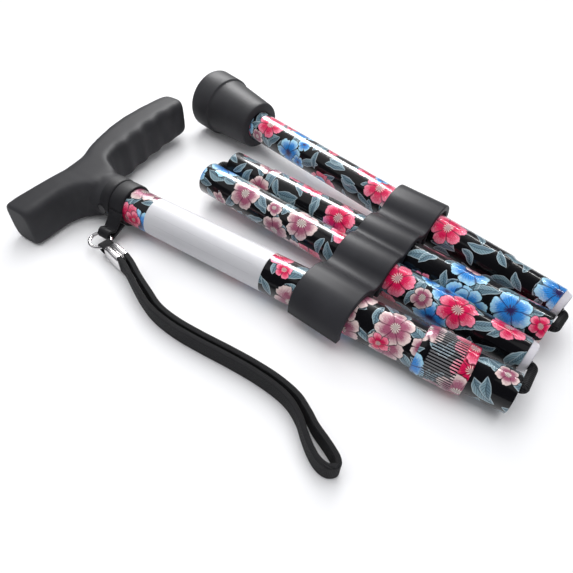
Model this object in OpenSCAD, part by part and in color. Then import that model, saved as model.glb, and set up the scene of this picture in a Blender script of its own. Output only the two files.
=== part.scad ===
// Folding walking cane, folded flat and lying on its side.
// The upper tube runs along X, the lower sections fan out beside it towards +Y.

/* [Tubes] */
// Outer diameter of the upper tube
upper_d = 22; // [21:0.5:26]
// Wall of the upper tube
upper_wall = 0.95; // [0.8:0.05:1.2]
// Length of the upper tube
upper_len = 232; // [220:1:260]
// Outer diameter of the extension tube and of the lower sections
lower_d = 19.5; // [17:0.5:19.5]
// Wall of the lower tubes
lower_wall = 1; // [0.8:0.1:1.4]
// Length of a middle section, its male end included
section_len = 202; // [180:1:215]
// Length of the lowest section's tube, its male end included
tip_section_len = 262; // [240:1:280]
// Length of the narrowed male end
male_len = 28; // [22:1:34]

/* [Folding] */
// Angle by which each folded pair fans out
splay = 6.5; // [5:0.5:8]
// Side gap between folded tubes, on each side of the pivot
side_gap = 0.25; // [0.2:0.05:1]
// How far a pivot lies beyond the female end
pivot_reach = 1.5; // [1:0.5:4]
// How far a joint plug stands out of the male end
plug_out = 3.5; // [2:0.5:6]
// Diameter of the elastic cord
cord_d = 4.8; // [4:0.2:5]

/* [Height lock] */
// Length of extension tube below the lock ring
ext_out = 19.5; // [15:0.5:30]
// Distance from the button to the top of the extension tube
button_back = 30.5; // [26:0.5:45]
// Distance between the height holes
hole_pitch = 16; // [14:0.5:18]
// Number of height holes
hole_count = 7; // [5:1:7]
// Diameter of the spring button
button_d = 6; // [5:0.5:7]
// Length of the lock ring's ribbed band
ring_rib_len = 14.5; // [10:0.5:18]
// Number of ribs on the lock ring
ring_ribs = 54; // [30:2:70]
// Wall of the lock ring over the upper tube
ring_wall = 1.5; // [1.4:0.1:2.2]

/* [Handle] */
// Length of the grip from end to end
grip_len = 142; // [125:1:150]
// Part of the grip's length on the short side of the tube
grip_short = 48.5; // [40:0.5:55]
// Depth of the grip from the palm to the end of the neck
grip_depth = 50.5; // [46:0.5:56]
// Thickness of the grip
grip_t = 27; // [24:0.5:32]
// Outer diameter of the neck
neck_d = 26; // [25:0.5:32]
// Depth of the socket that holds the upper tube
socket_depth = 30; // [24:1:34]

/* [Tip] */
// Diameter of the rubber tip's base
tip_d = 42; // [36:0.5:46]
// Diameter of the rubber tip's neck
tip_neck_d = 32; // [26:0.5:34]
// Length of the rubber tip
tip_len = 51; // [45:1:60]
// Thickness of rubber under the tube
tip_floor = 8; // [6:0.5:12]

/* [Clip] */
// Length of the storage clip along the tubes
clip_len = 30; // [24:1:40]
// Wall of the storage clip
clip_wall = 3.4; // [2.5:0.1:4.5]
// Distance from the clip's middle to the extension tube's end
clip_back = 91; // [80:1:110]
// How far the clip reaches below the tubes' middle
clip_drop = 3.5; // [2:0.5:6]

/* [Strap] */
// Length of the collar that carries the wrist strap
collar_len = 9.5; // [8:0.5:14]
// Wall of the collar
collar_wall = 1.7; // [1.2:0.1:2.5]
// Width of the strap's tape
tape_w = 10.5; // [8:0.5:12]
// Thickness of the strap's tape
tape_t = 1.8; // [1.2:0.1:2.2]

/* [Label] */
// Length of the plain label
label_len = 78; // [50:1:90]
// Distance from the collar to the label
label_gap = 16; // [8:1:25]
// Part of the tube's round that the label covers, in degrees
label_turn = 215; // [120:5:270]

/* [Hidden] */
$fn = 48;

// Clearances
overrun = 1;
fit = 0.05;
press = 0.02;
slack = 0.3;

// Radii of the tubes
upper_r = upper_d / 2;
upper_bore = upper_r - upper_wall;
lower_r = lower_d / 2;
lower_bore = lower_r - lower_wall;
male_r = lower_bore - fit;
male_bore = male_r - lower_wall;
rim_bevel = 0.5;
shoulder_len = 2;

// Joint plugs and cord
plug_gap = 0.7;
plug_in = 14;
plug_wall = 1;
plug_nose = 1.4;
plug_r = male_bore - press;
plug_bore = plug_r - plug_wall;
cord_r = cord_d / 2;
cord_side = plug_bore - cord_r - slack;
cord_split = 0.15;

// Places along the upper tube, with the extension tube's lower end at zero
ring_plain_len = 5;
ring_cone_len = 4.5;
ring_lip = 10;
ring_low = -ext_out;
ring_rib_low = ring_low - ring_plain_len;
ring_rib_high = ring_rib_low - ring_rib_len;
ring_high = ring_rib_high - ring_cone_len;
upper_low = ring_low - ring_lip;
upper_high = upper_low - upper_len;
neck_x = upper_high + socket_depth;

// Lock ring and its split bush
ring_r = upper_r + ring_wall;
rib_rise = 0.35;
ring_root_r = ring_r - rib_rise;
ring_plain_r = ring_root_r - rib_rise / 2;
ring_cone_r = ring_r + rib_rise / 3;
cone_drop = 0.6;
bush_len = 7;
bush_slit = 1.5;
bush_r = upper_r + ring_wall / 4;

// Height holes and spring button
hole_end = 24;
hole_play = 0.2;
button_x = upper_low - hole_end - (hole_count - 1) * hole_pitch;
ext_high = button_x - button_back;
button_out = 2;
button_r = button_d / 2;
button_flange_r = button_r + 1;
button_flange_t = 1.2;
button_seat = sqrt(pow(lower_bore, 2) - pow(button_flange_r, 2)) - slack / 3;
spring_t = 0.6;
spring_w = 2.6;
spring_len = 26;
spring_nose = 3;

// Guide plug at the top of the extension tube
guide_flange = 8;
guide_in = 16;
guide_bore = 5.6;
cord_pin_r = 1.5;
cord_pin_x = ext_high - guide_flange / 2;

// Directions and pivots of the folded sections, seen from above
across = [sin(splay), cos(splay)];
along_mid = [-cos(splay), sin(splay)];
along_tip = [-cos(2 * splay), sin(2 * splay)];
across_tip = [sin(2 * splay), cos(2 * splay)];
half_upper = upper_r + side_gap;
half_lower = lower_r + side_gap;
male_start = plug_gap + plug_out;
section_run = male_start + section_len + pivot_reach;
pivot_upper = [pivot_reach, half_upper];
foot_b = pivot_upper + half_upper * across;
pivot_middle = foot_b + section_run * along_mid + half_lower * across;
foot_c = pivot_middle + half_lower * across;
pivot_lower = foot_c - section_run * along_mid + half_lower * across;
foot_d = pivot_lower + half_lower * across_tip;
turn_b = 180 - splay;
turn_c = -splay;
turn_d = 180 - 2 * splay;
bend_upper = half_upper - cord_side;
bend_lower = half_lower - cord_side;
bend_turn = 3;

// Rubber tip, measured along the lowest section from its pivot
tip_r = tip_d / 2;
tip_neck_r = tip_neck_d / 2;
tip_end = male_start + tip_section_len + tip_floor;
tip_band = 15;
tip_step = 0.9;
tip_lip = 1.2;
tip_round = 1.5;
tread_depth = 1.5;
tread_shares = [0.3, 0.5, 0.7, 0.88];
washer_t = 1.5;
anchor_t = 5;
anchor_back = 30;
anchor_hole = 3;
knot_r = 4.2;

// Grip: shares of its length, then of its depth on the palm and finger sides, then of its thickness
grip_shares = [
    [0.000, 0.763, 0.448, 0.84], [0.005, 0.786, 0.423, 0.90], [0.016, 0.797, 0.409, 0.93],
    [0.055, 0.803, 0.407, 0.95], [0.110, 0.797, 0.419, 0.96], [0.165, 0.790, 0.421, 0.97],
    [0.205, 0.786, 0.396, 0.98], [0.233, 0.785, 0.353, 0.98], [0.258, 0.785, 0.282, 0.99],
    [0.280, 0.786, 0.201, 0.99], [0.306, 0.788, 0.158, 1.00], [0.342, 0.793, 0.158, 1.00],
    [0.376, 0.801, 0.158, 1.00], [0.400, 0.812, 0.196, 1.00], [0.416, 0.824, 0.291, 1.00],
    [0.432, 0.838, 0.391, 1.00], [0.452, 0.858, 0.461, 1.00], [0.482, 0.885, 0.499, 1.00],
    [0.526, 0.919, 0.523, 1.00], [0.576, 0.952, 0.518, 1.00], [0.626, 0.977, 0.542, 1.00],
    [0.676, 0.992, 0.539, 1.00], [0.716, 0.996, 0.561, 1.00], [0.770, 0.989, 0.554, 1.00],
    [0.820, 0.976, 0.569, 1.00], [0.866, 0.962, 0.558, 0.99], [0.906, 0.948, 0.554, 0.98],
    [0.938, 0.936, 0.548, 0.97], [0.960, 0.925, 0.550, 0.95], [0.978, 0.907, 0.561, 0.92],
    [0.991, 0.881, 0.588, 0.86], [1.000, 0.833, 0.638, 0.76]
];
grip_square = 4.5;
grip_sides = 28;
screw_back = 5.5;
screw_r = 1.5;
screw_head_r = 2.8;
screw_head_t = 1.1;
screw_seat = upper_r + 0.8;
screw_in = 3.8;
recess_r = 3.2;

// Lie of the folded cane: it rests on the tip, the lock ring and the short end of the grip
base_d = foot_d + tip_end * along_tip;
heel_clear = 0.1;
heel = grip_shares[3];
heel_at = [neck_x - grip_depth * (heel[1] + heel[2]) / 2, grip_len * heel[0] - grip_short];
heel_low = grip_t * heel[3] / 2 + heel_clear;
to_tip = [base_d.x - ring_rib_low, base_d.y];
to_heel = [heel_at.x - ring_rib_low, heel_at.y];
lie_scale = to_tip.x * to_heel.y - to_tip.y * to_heel.x;
slope_x = ((tip_r - ring_r) * to_heel.y - to_tip.y * (heel_low - ring_r)) / lie_scale;
slope_y = (to_tip.x * (heel_low - ring_r) - to_heel.x * (tip_r - ring_r)) / lie_scale;
steep = norm([slope_x, slope_y, 1]);
tilt = -asin(slope_x / steep);
roll = atan(slope_y);
lift = (ring_r - slope_x * ring_rib_low) / steep + tip_r * (steep - 1);
nose_x = pivot_lower.x + (bend_lower - bend_turn) * sin(2 * splay) + bend_turn + cord_r;
palm_x = neck_x - grip_depth;
mid_x = (palm_x + nose_x) / 2;
mid_y = (base_d.y + tip_r * across_tip.y - grip_short) / 2;

// Wrist strap fittings, measured from the middle of the metal ring
collar_mid = neck_x + collar_len / 2 + slack;
tab_w = 9.5;
tab_t = 3;
tab_drop = 6;
eye_w = 6;
eye_r = 3.2;
wire_r = 1;
link_ring_r = 6;
eye_bore = wire_r + pow(eye_w / 2, 2) / (2 * link_ring_r) + slack / 2;
eye_y = -(upper_r + collar_wall + eye_r + 6.5);
strap_turn = -12;
strap_ring_at = [collar_mid + 2, eye_y - link_ring_r, -tab_drop];
link_len = 5.5;
link_t = 3.4;
crimp_len = 13;
crimp_w = 4.3;
crimp_h = 9.8;
crimp_at = link_ring_r + link_len;

// Route of the wrist strap's tape: along X, along Y, and height of its middle above the floor
strap_route = [
    [-200.3, -35.8, 7.2], [-195.5, -37.4, 7], [-186, -42.3, 6.5], [-175.5, -47.4, 5.9],
    [-163.1, -51.7, 5.6], [-148.6, -53.6, 5.5], [-133.3, -53.6, 5.5], [-117.9, -52.9, 5.5],
    [-103.4, -52.7, 5.5], [-90.8, -53.6, 5.5], [-81, -55.9, 5.5], [-73.2, -60.4, 5.5],
    [-67.8, -65.3, 5.5], [-62.4, -69.7, 5.5], [-57, -72.7, 5.5], [-52.4, -73, 5.5],
    [-49.7, -70.6, 5.5], [-51, -68, 5.5], [-54.4, -65.7, 5.5], [-59.3, -63.1, 5.5],
    [-65.2, -60.2, 5.5], [-71.3, -56.2, 5.5], [-79.1, -52.1, 5.5], [-90.3, -49.7, 5.5],
    [-103.5, -48.9, 5.5], [-118, -49.1, 5.5], [-133.4, -49.8, 5.5], [-148.7, -49.8, 5.5],
    [-162, -47.9, 5.6], [-173.5, -43.2, 5.9], [-184.2, -38.6, 6.4], [-194.2, -33.6, 6.9],
    [-199.4, -31.6, 7.2]
];
strap_steps = 2;
tape_bevel = 0.5;

// Label
label_t = 0.12;
label_high = neck_x + slack + collar_len + label_gap;
label_middle = 225;
label_from = label_middle - label_turn / 2;

// Clip, measured across the tubes from the upper tube's middle
clip_mid = [-clip_back, 0];
clip_play = slack;
clip_shift = clip_len / 2 * tan(splay);
clip_b = (foot_b - clip_mid) * across;
clip_c = clip_b + 2 * half_lower;
tip_cross = ((foot_d - clip_mid) * along_mid) / -(along_tip * along_mid);
clip_d = (foot_d + tip_cross * along_tip - clip_mid) * across;
channel_upper = upper_r + clip_play;
channel_lower = lower_r + clip_play;
hump_upper = channel_upper + clip_wall;
hump_lower = channel_lower + clip_wall;
valley_wide = 8;
valley_tight = 5;
clip_web = 2.2;
pocket_top = 4.5;

// Colours
black_rubber = "#2b2b2e";
grip_black = "#3c3c40";
print_dark = "#2a2430";
paper_white = "#e4e4ea";
steel = "#c9ccd0";
nylon = "#e9e8ee";

// Lays the bench frame, with the upper tube along X, on the floor
module lie() {
    translate([-mid_x, -mid_y, lift])
        rotate([roll, tilt, 0])
            children();
}

// Puts a piece, drawn from a section's pivot along X, on that section
module on_section(foot, turn) {
    lie()
        translate([foot.x, foot.y, 0])
            rotate([0, 0, turn])
                children();
}

// Turns a profile of radius and distance about X
module spin_x(profile) {
    rotate([0, 90, 0])
        rotate_extrude()
            polygon(profile);
}

// Round rod or bore along X from one place to another
module rod_x(from, to, r) {
    translate([from, 0, 0])
        rotate([0, 90, 0])
            cylinder(h = to - from, r = r);
}

// Open tube along X
module tube_x(from, to, outer, inner) {
    difference() {
        rod_x(from, to, outer);
        rod_x(from - overrun, to + overrun, inner);
    }
}

// Round cord between two points seen from above
module cord_line(a, b) {
    run = b - a;
    translate([a.x, a.y, 0])
        rotate([0, 0, atan2(run.y, run.x)])
            rod_x(0, norm(run), cord_r);
}

// One corner of a cord bend
module cord_corner(sweep) {
    rotate_extrude(angle = sweep)
        translate([bend_turn, 0])
            circle(cord_r);
}

// Bend of cord round a pivot: two corners with a straight length between them
module cord_bend(pivot, bend_r, from, sweep) {
    out = bend_r - bend_turn;
    lie()
        translate([pivot.x, pivot.y, 0])
            rotate([0, 0, from]) {
                translate([out, 0, 0])
                    cord_corner(sweep / 2);
                translate([out, 0, 0])
                    rotate([0, 0, sweep / 2])
                        translate([bend_turn, 0, 0])
                            rotate([-90, 0, 0])
                                translate([0, 0, -slack])
                                    cylinder(h = 2 * (out * sin(sweep / 2) + slack), r = cord_r - fit);
                rotate([0, 0, sweep])
                    translate([out, 0, 0])
                        rotate([0, 0, -sweep / 2])
                            cord_corner(sweep / 2);
            }
}

// One ring of the grip: a rounded square across its length
function rounded(v) = sign(v) * pow(abs(v), 2 / grip_square);
function grip_ring(s) =
    let (
        middle = neck_x - grip_depth * (s[1] + s[2]) / 2,
        half_x = grip_depth * (s[1] - s[2]) / 2,
        half_z = grip_t * s[3] / 2
    )
    [for (i = [0 : grip_sides - 1])
        let (a = 360 * i / grip_sides)
        [middle + half_x * rounded(cos(a)), grip_len * s[0] - grip_short, half_z * rounded(sin(a))]
    ];

// Side faces of a closed loft of equal rings, as triangles
function loft_sides(rings, sides) = [
    for (r = [0 : rings - 2], i = [0 : sides - 1])
        let (
            j = (i + 1) % sides,
            a = r * sides + i,
            b = r * sides + j,
            c = (r + 1) * sides + j,
            d = (r + 1) * sides + i
        )
        each [[a, b, c], [a, c, d]]
];
function cap_faces(first, sides, flip) = [
    for (i = [1 : sides - 2])
        flip ? [first, first + i + 1, first + i] : [first, first + i, first + i + 1]
];
function loft_faces(rings, sides) = concat(
    cap_faces(0, sides, true),
    loft_sides(rings, sides),
    cap_faces((rings - 1) * sides, sides, false)
);

// Smooth curve through four points in a row
function between(a, b, c, d, t) =
    (2 * b + (c - a) * t + (2 * a - 5 * b + 4 * c - d) * t * t
        + (3 * b - a - 3 * c + d) * t * t * t) / 2;
function route_point(i, t) =
    let (last = len(strap_route) - 1)
    between(
        strap_route[max(i - 1, 0)],
        strap_route[i],
        strap_route[min(i + 1, last)],
        strap_route[min(i + 2, last)],
        t
    );

// Height of the floor under a place on the bench frame
function floor_at(x, y) = -slope_x * x - slope_y * y - lift * steep;

strap_line = [
    for (i = [0 : len(strap_route) - 2], k = [0 : strap_steps - 1])
        route_point(i, k / strap_steps),
    strap_route[len(strap_route) - 1]
];
tape_outline = [
    [tape_t / 2, tape_w / 2 - tape_bevel], [tape_t / 2 - tape_bevel, tape_w / 2],
    [tape_bevel - tape_t / 2, tape_w / 2], [-tape_t / 2, tape_w / 2 - tape_bevel],
    [-tape_t / 2, tape_bevel - tape_w / 2], [tape_bevel - tape_t / 2, -tape_w / 2],
    [tape_t / 2 - tape_bevel, -tape_w / 2], [tape_t / 2, tape_bevel - tape_w / 2]
];
function tape_ring(k) =
    let (
        last = len(strap_line) - 1,
        run = strap_line[min(k + 1, last)] - strap_line[max(k - 1, 0)],
        flat = [run.x, run.y] / norm([run.x, run.y]),
        p = strap_line[k]
    )
    [for (q = tape_outline) [p.x + flat.y * q.x, p.y - flat.x * q.x, floor_at(p.x, p.y) + p.z + q.y]];

// Middle of the round valley that touches two humps
function valley_mid(s1, r1, s2, r2, valley_r) =
    let (
        a = r1 + valley_r,
        b = r2 + valley_r,
        d = s2 - s1,
        x = (a * a - b * b + d * d) / (2 * d)
    )
    [s1 + x, sqrt(a * a - x * x)];

module handle() {
    rings = [for (s = grip_shares) grip_ring(s)];
    color(grip_black)
        lie()
            difference() {
                union() {
                    polyhedron(
                        [for (ring = rings) each ring],
                        loft_faces(len(rings), grip_sides)
                    );
                    rod_x(upper_high - slack, neck_x, neck_d / 2);
                }
                rod_x(upper_high, neck_x + overrun, upper_r + press);
                translate([neck_x - screw_back, -screw_seat, 0])
                    rotate([90, 0, 0])
                        cylinder(h = grip_short, r = recess_r);
                translate([neck_x - screw_back, 0, 0])
                    rotate([90, 0, 0])
                        cylinder(h = screw_seat + overrun, r = screw_r + fit);
            }
}

module handle_screw() {
    color(steel)
        lie()
            translate([neck_x - screw_back, -screw_seat, 0])
                rotate([90, 0, 0]) {
                    cylinder(h = screw_head_t, r = screw_head_r);
                    translate([0, 0, -screw_in])
                        cylinder(h = screw_in + screw_head_t / 2, r = screw_r);
                }
}

module upper_tube() {
    color(print_dark)
        lie()
            difference() {
                tube_x(upper_high, upper_low, upper_r, upper_bore);
                for (i = [0 : hole_count - 1])
                    translate([button_x + i * hole_pitch, 0, -upper_d])
                        cylinder(h = upper_d, r = button_r + hole_play);
                translate([neck_x - screw_back, 0, 0])
                    rotate([90, 0, 0])
                        cylinder(h = upper_d, r = screw_r + fit);
            }
}

module label() {
    color(paper_white)
        lie()
            translate([label_high, 0, 0])
                rotate([0, 90, 0])
                    rotate([0, 0, label_from])
                        rotate_extrude(angle = label_turn)
                            translate([upper_r + press, 0])
                                square([label_t, label_len]);
}

module strap_collar() {
    outer = upper_r + collar_wall;
    color(black_rubber)
        lie()
            translate([collar_mid, 0, 0])
                difference() {
                    union() {
                        rod_x(-collar_len / 2, collar_len / 2, outer);
                        rotate([90, 0, 90])
                            translate([0, 0, -tab_w / 2])
                                linear_extrude(height = tab_w)
                                    polygon([
                                        [-outer / 2, -outer / 2],
                                        [-outer, 0],
                                        [eye_y + eye_r, tab_t - tab_drop],
                                        [eye_y + eye_r, -tab_drop - tab_t / 2]
                                    ]);
                        translate([2 - eye_w / 2, eye_y, -tab_drop])
                            rod_x(0, eye_w, eye_r);
                        translate([2 - eye_w / 2, eye_y, -tab_drop - tab_t / 2])
                            cube([eye_w, 2 * eye_r, 2 * tab_t - tab_t / 2]);
                    }
                    rod_x(-collar_len, collar_len, upper_r + press);
                    translate([2 - eye_w, eye_y, -tab_drop])
                        rod_x(0, 2 * eye_w, eye_bore);
                }
}

// Puts a strap fitting, drawn from the ring's middle along X, in its place
module on_strap() {
    lie()
        translate(strap_ring_at)
            rotate([0, 0, strap_turn])
                children();
}

module strap_ring() {
    color(steel)
        on_strap()
            rotate_extrude()
                translate([link_ring_r, 0])
                    circle(wire_r);
}

module strap_link() {
    color(black_rubber)
        on_strap()
            difference() {
                union() {
                    translate([link_ring_r, eye_w / 2, 0])
                        rotate([90, 0, 0])
                            cylinder(h = eye_w, r = eye_r);
                    translate([link_ring_r, -eye_w / 2, -link_t / 2])
                        cube([link_len - press, eye_w, link_t]);
                }
                translate([link_ring_r, eye_w, 0])
                    rotate([90, 0, 0])
                        cylinder(h = 2 * eye_w, r = eye_bore);
            }
}

module strap_crimp() {
    color(steel)
        on_strap()
            for (side = [-1, 1])
                translate([crimp_at, side * crimp_w / 2, 0]) {
                    translate([0, -crimp_w / 2, -(crimp_h - crimp_w) / 2])
                        cube([crimp_len, crimp_w, crimp_h - crimp_w]);
                    for (end = [-1, 1])
                        translate([0, 0, end * (crimp_h - crimp_w) / 2])
                            rod_x(0, crimp_len, crimp_w / 2);
                }
}

module wrist_strap() {
    rings = [for (k = [0 : len(strap_line) - 1]) tape_ring(k)];
    sides = len(tape_outline);
    color(black_rubber)
        lie()
            polyhedron([for (ring = rings) each ring], loft_faces(len(rings), sides));
}

module lock_ring() {
    points = 4 * ring_ribs;
    color(print_dark)
        lie()
            difference() {
                union() {
                    spin_x([
                        [0, ring_high],
                        [ring_cone_r - cone_drop, ring_high],
                        [ring_cone_r, ring_rib_high],
                        [ring_plain_r, ring_rib_high],
                        [ring_plain_r, ring_low],
                        [0, ring_low]
                    ]);
                    translate([ring_rib_high, 0, 0])
                        rotate([0, 90, 0])
                            linear_extrude(height = ring_rib_len)
                                polygon([
                                    for (i = [0 : points - 1])
                                        (i % 4 < 2 ? ring_r : ring_root_r)
                                            * [cos(360 * i / points), sin(360 * i / points)]
                                ]);
                }
                rod_x(ring_high - overrun, upper_low + slack, upper_r + fit);
                rod_x(upper_low, upper_low + slack + bush_len, bush_r + fit);
                rod_x(upper_low, ring_low + overrun, lower_r + fit);
            }
}

module lock_bush() {
    color(nylon)
        lie()
            difference() {
                tube_x(upper_low + slack / 2, upper_low + slack / 2 + bush_len, bush_r, lower_r + fit);
                translate([upper_low, -bush_slit / 2, 0])
                    cube([bush_len + overrun, bush_slit, upper_d]);
            }
}

module extension_tube() {
    color(print_dark)
        lie()
            difference() {
                tube_x(ext_high, 0, lower_r, lower_bore);
                translate([button_x, 0, -lower_d])
                    cylinder(h = lower_d, r = button_r + fit);
            }
}

module guide_plug() {
    color(nylon)
        lie()
            difference() {
                union() {
                    rod_x(ext_high - guide_flange, ext_high, upper_bore - fit);
                    rod_x(ext_high - overrun, ext_high + guide_in, lower_bore - press);
                }
                translate([0, cord_side, 0])
                    rod_x(ext_high - guide_flange - overrun, ext_high + guide_in + overrun, cord_r + slack);
                translate([cord_pin_x, upper_bore, 0])
                    rotate([90, 0, 0])
                        cylinder(h = 2 * upper_bore, r = cord_pin_r + press);
            }
}

module cord_pin() {
    color(steel)
        lie()
            translate([cord_pin_x, guide_bore + cord_pin_r, 0])
                rotate([90, 0, 0])
                    cylinder(h = 2 * (guide_bore + cord_pin_r), r = cord_pin_r);
}

module height_button() {
    color(steel)
        lie()
            translate([button_x, 0, 0]) {
                translate([0, 0, -upper_r - button_out])
                    cylinder(h = upper_r + button_out - button_seat + button_flange_t / 2, r = button_r);
                translate([0, 0, -button_seat])
                    cylinder(h = button_flange_t, r = button_flange_r);
            }
}

module button_spring() {
    low = button_flange_t - button_seat;
    high = lower_bore - slack;
    color(steel)
        lie()
            translate([button_x, spring_w / 2, 0])
                rotate([90, 0, 0])
                    linear_extrude(height = spring_w)
                        polygon([
                            [-spring_nose, low],
                            [spring_nose, low],
                            [spring_len, -spring_t / 2],
                            [spring_len + spring_t, 0],
                            [spring_len, spring_t / 2],
                            [spring_nose, high],
                            [-spring_nose, high],
                            [-spring_nose, high - spring_t],
                            [spring_nose - spring_t, high - spring_t],
                            [spring_len - 2 * spring_t, 0],
                            [spring_nose - spring_t, low + spring_t],
                            [-spring_nose, low + spring_t]
                        ]);
}

// Tube of a lower section with its narrowed male end
module section_tube(length) {
    start = male_start;
    shoulder = start + male_len;
    stop = start + length;
    color(print_dark)
        spin_x([
            [male_bore, start],
            [male_r - rim_bevel, start],
            [male_r, start + rim_bevel],
            [male_r, shoulder],
            [lower_r, shoulder + shoulder_len],
            [lower_r, stop],
            [lower_bore, stop],
            [lower_bore, shoulder + shoulder_len + lower_wall],
            [male_bore, shoulder + lower_wall]
        ]);
}

// Plug in a male end, with a nose that finds the way into the next tube
module joint_plug() {
    color(nylon)
        difference() {
            spin_x([
                [0, plug_gap],
                [male_r - plug_nose, plug_gap],
                [male_r - rim_bevel, male_start],
                [plug_r, male_start],
                [plug_r, male_start + plug_in],
                [0, male_start + plug_in]
            ]);
            rod_x(plug_gap - overrun, male_start + plug_in + overrun, plug_bore);
        }
}

module upper_middle_tube() {
    on_section(foot_b, turn_b) section_tube(section_len);
}

module lower_middle_tube() {
    on_section(foot_c, turn_c) section_tube(section_len);
}

module tip_tube() {
    on_section(foot_d, turn_d) section_tube(tip_section_len);
}

module upper_joint_plug() {
    on_section(foot_b, turn_b) joint_plug();
}

module middle_joint_plug() {
    on_section(foot_c, turn_c) joint_plug();
}

module lower_joint_plug() {
    on_section(foot_d, turn_d) joint_plug();
}

module cord_upper() {
    color(black_rubber)
        lie()
            cord_line(
                [cord_pin_x + cord_pin_r + slack, cord_side],
                [pivot_reach - cord_split, cord_side]
            );
}

module cord_upper_middle() {
    color(black_rubber)
        on_section(foot_b, turn_b)
            cord_line([cord_split, cord_side], [section_run - cord_split, -cord_side]);
}

module cord_lower_middle() {
    color(black_rubber)
        on_section(foot_c, turn_c)
            cord_line([cord_split, -cord_side], [section_run - cord_split, cord_side]);
}

module cord_tip() {
    knot_x = tip_end - tip_floor - anchor_back + anchor_t / 2 + knot_r;
    color(black_rubber)
        on_section(foot_d, turn_d) {
            cord_line([cord_split, cord_side], [knot_x, 0]);
            translate([knot_x, 0, 0])
                sphere(knot_r);
        }
}

module cord_bend_upper() {
    color(black_rubber) cord_bend(pivot_upper, bend_upper, -90, 180 - splay);
}

module cord_bend_middle() {
    color(black_rubber) cord_bend(pivot_middle, bend_lower, 90 - splay, 180);
}

module cord_bend_lower() {
    color(black_rubber) cord_bend(pivot_lower, bend_lower, -90 - splay, 180 - splay);
}

module cord_anchor() {
    from = tip_end - tip_floor - anchor_back - anchor_t / 2;
    color(steel)
        on_section(foot_d, turn_d)
            tube_x(from, from + anchor_t, lower_bore - press, anchor_hole);
}

module rubber_tip() {
    neck = tip_end - tip_len;
    band = tip_end - tip_band;
    color(black_rubber)
        on_section(foot_d, turn_d)
            difference() {
                spin_x([
                    [0, neck],
                    [tip_neck_r - tip_lip, neck],
                    [tip_neck_r, neck + tip_lip],
                    [tip_r - 2 * tip_step, band - tip_step],
                    [tip_r - tip_step / 2, band],
                    [tip_r, tip_end - tip_round],
                    [tip_r - tip_round, tip_end],
                    [0, tip_end]
                ]);
                rod_x(neck - overrun, tip_end - tip_floor + washer_t, lower_r + press);
                for (i = [0 : 2 : len(tread_shares) - 2])
                    tube_x(
                        tip_end - tread_depth,
                        tip_end + overrun,
                        tip_r * tread_shares[i + 1],
                        tip_r * tread_shares[i]
                    );
            }
}

module tip_washer() {
    color(steel)
        on_section(foot_d, turn_d)
            rod_x(tip_end - tip_floor + press, tip_end - tip_floor + washer_t - press, lower_r - press);
}

// Two equal rounds side by side, with the space between them filled
module wide_round(s, shift, r) {
    for (side = [-1, 1])
        translate([s + side * shift, 0])
            circle(r);
    translate([s - shift, -r])
        square([2 * shift, 2 * r]);
}

// Fills the space between two humps down to a round valley that touches both
module clip_valley(s1, r1, s2, r2, valley_r) {
    mid = valley_mid(s1, r1, s2, r2, valley_r);
    difference() {
        polygon([[s1, 0], [s2, 0], mid]);
        translate(mid) circle(valley_r);
    }
}

// Open channel below a round
module channel_mouth(s, half) {
    translate([s - half, -upper_d])
        square([2 * half, upper_d]);
}

// Pocket under a valley, between the walls of two channels
module clip_pocket(from, to) {
    translate([from + clip_web, -upper_d])
        square([to - from - 2 * clip_web, upper_d + pocket_top]);
}

module clip_outline() {
    reach_upper = channel_upper + clip_shift;
    reach_lower = channel_lower + clip_shift;
    difference() {
        union() {
            wide_round(0, clip_shift, hump_upper);
            translate([clip_b, 0]) circle(hump_lower);
            translate([clip_c, 0]) circle(hump_lower);
            wide_round(clip_d, clip_shift, hump_lower);
            clip_valley(clip_shift, hump_upper, clip_b, hump_lower, valley_wide);
            clip_valley(clip_b, hump_lower, clip_c, hump_lower, valley_tight);
            clip_valley(clip_c, hump_lower, clip_d - clip_shift, hump_lower, valley_wide);
            translate([-reach_upper - clip_wall, -clip_drop])
                square([clip_d + reach_upper + reach_lower + 2 * clip_wall, clip_drop]);
        }
        wide_round(0, clip_shift, channel_upper);
        channel_mouth(0, reach_upper);
        translate([clip_b, 0]) circle(channel_lower);
        channel_mouth(clip_b, channel_lower);
        translate([clip_c, 0]) circle(channel_lower);
        channel_mouth(clip_c, channel_lower);
        wide_round(clip_d, clip_shift, channel_lower);
        channel_mouth(clip_d, reach_lower);
        clip_pocket(reach_upper, clip_b - channel_lower);
        clip_pocket(clip_c + channel_lower, clip_d - reach_lower);
        translate([-upper_d, -2 * upper_d - clip_drop])
            square([clip_d + 2 * upper_d, 2 * upper_d]);
    }
}

module storage_clip() {
    color(grip_black)
        lie()
            translate([clip_mid.x, clip_mid.y, 0])
                rotate([0, 0, -splay])
                    rotate([90, 0, 90])
                        translate([0, 0, -clip_len / 2])
                            linear_extrude(height = clip_len)
                                clip_outline();
}

handle();
handle_screw();
upper_tube();
label();
strap_collar();
strap_ring();
strap_link();
strap_crimp();
wrist_strap();
lock_ring();
lock_bush();
extension_tube();
guide_plug();
cord_pin();
height_button();
button_spring();
upper_middle_tube();
lower_middle_tube();
tip_tube();
upper_joint_plug();
middle_joint_plug();
lower_joint_plug();
cord_upper();
cord_upper_middle();
cord_lower_middle();
cord_tip();
cord_bend_upper();
cord_bend_middle();
cord_bend_lower();
cord_anchor();
rubber_tip();
tip_washer();
storage_clip();
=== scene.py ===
"""Folding cane: the visual pieces, finishes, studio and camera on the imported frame."""
import logging
import math
from dataclasses import dataclass
from enum import Enum
from typing import Callable, Sequence, Union

import bmesh
import bpy
from bpy.types import ID, Material, Mesh, Node, NodeSocket as Socket, NodeTree, Object
from mathutils import Matrix, Vector


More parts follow.
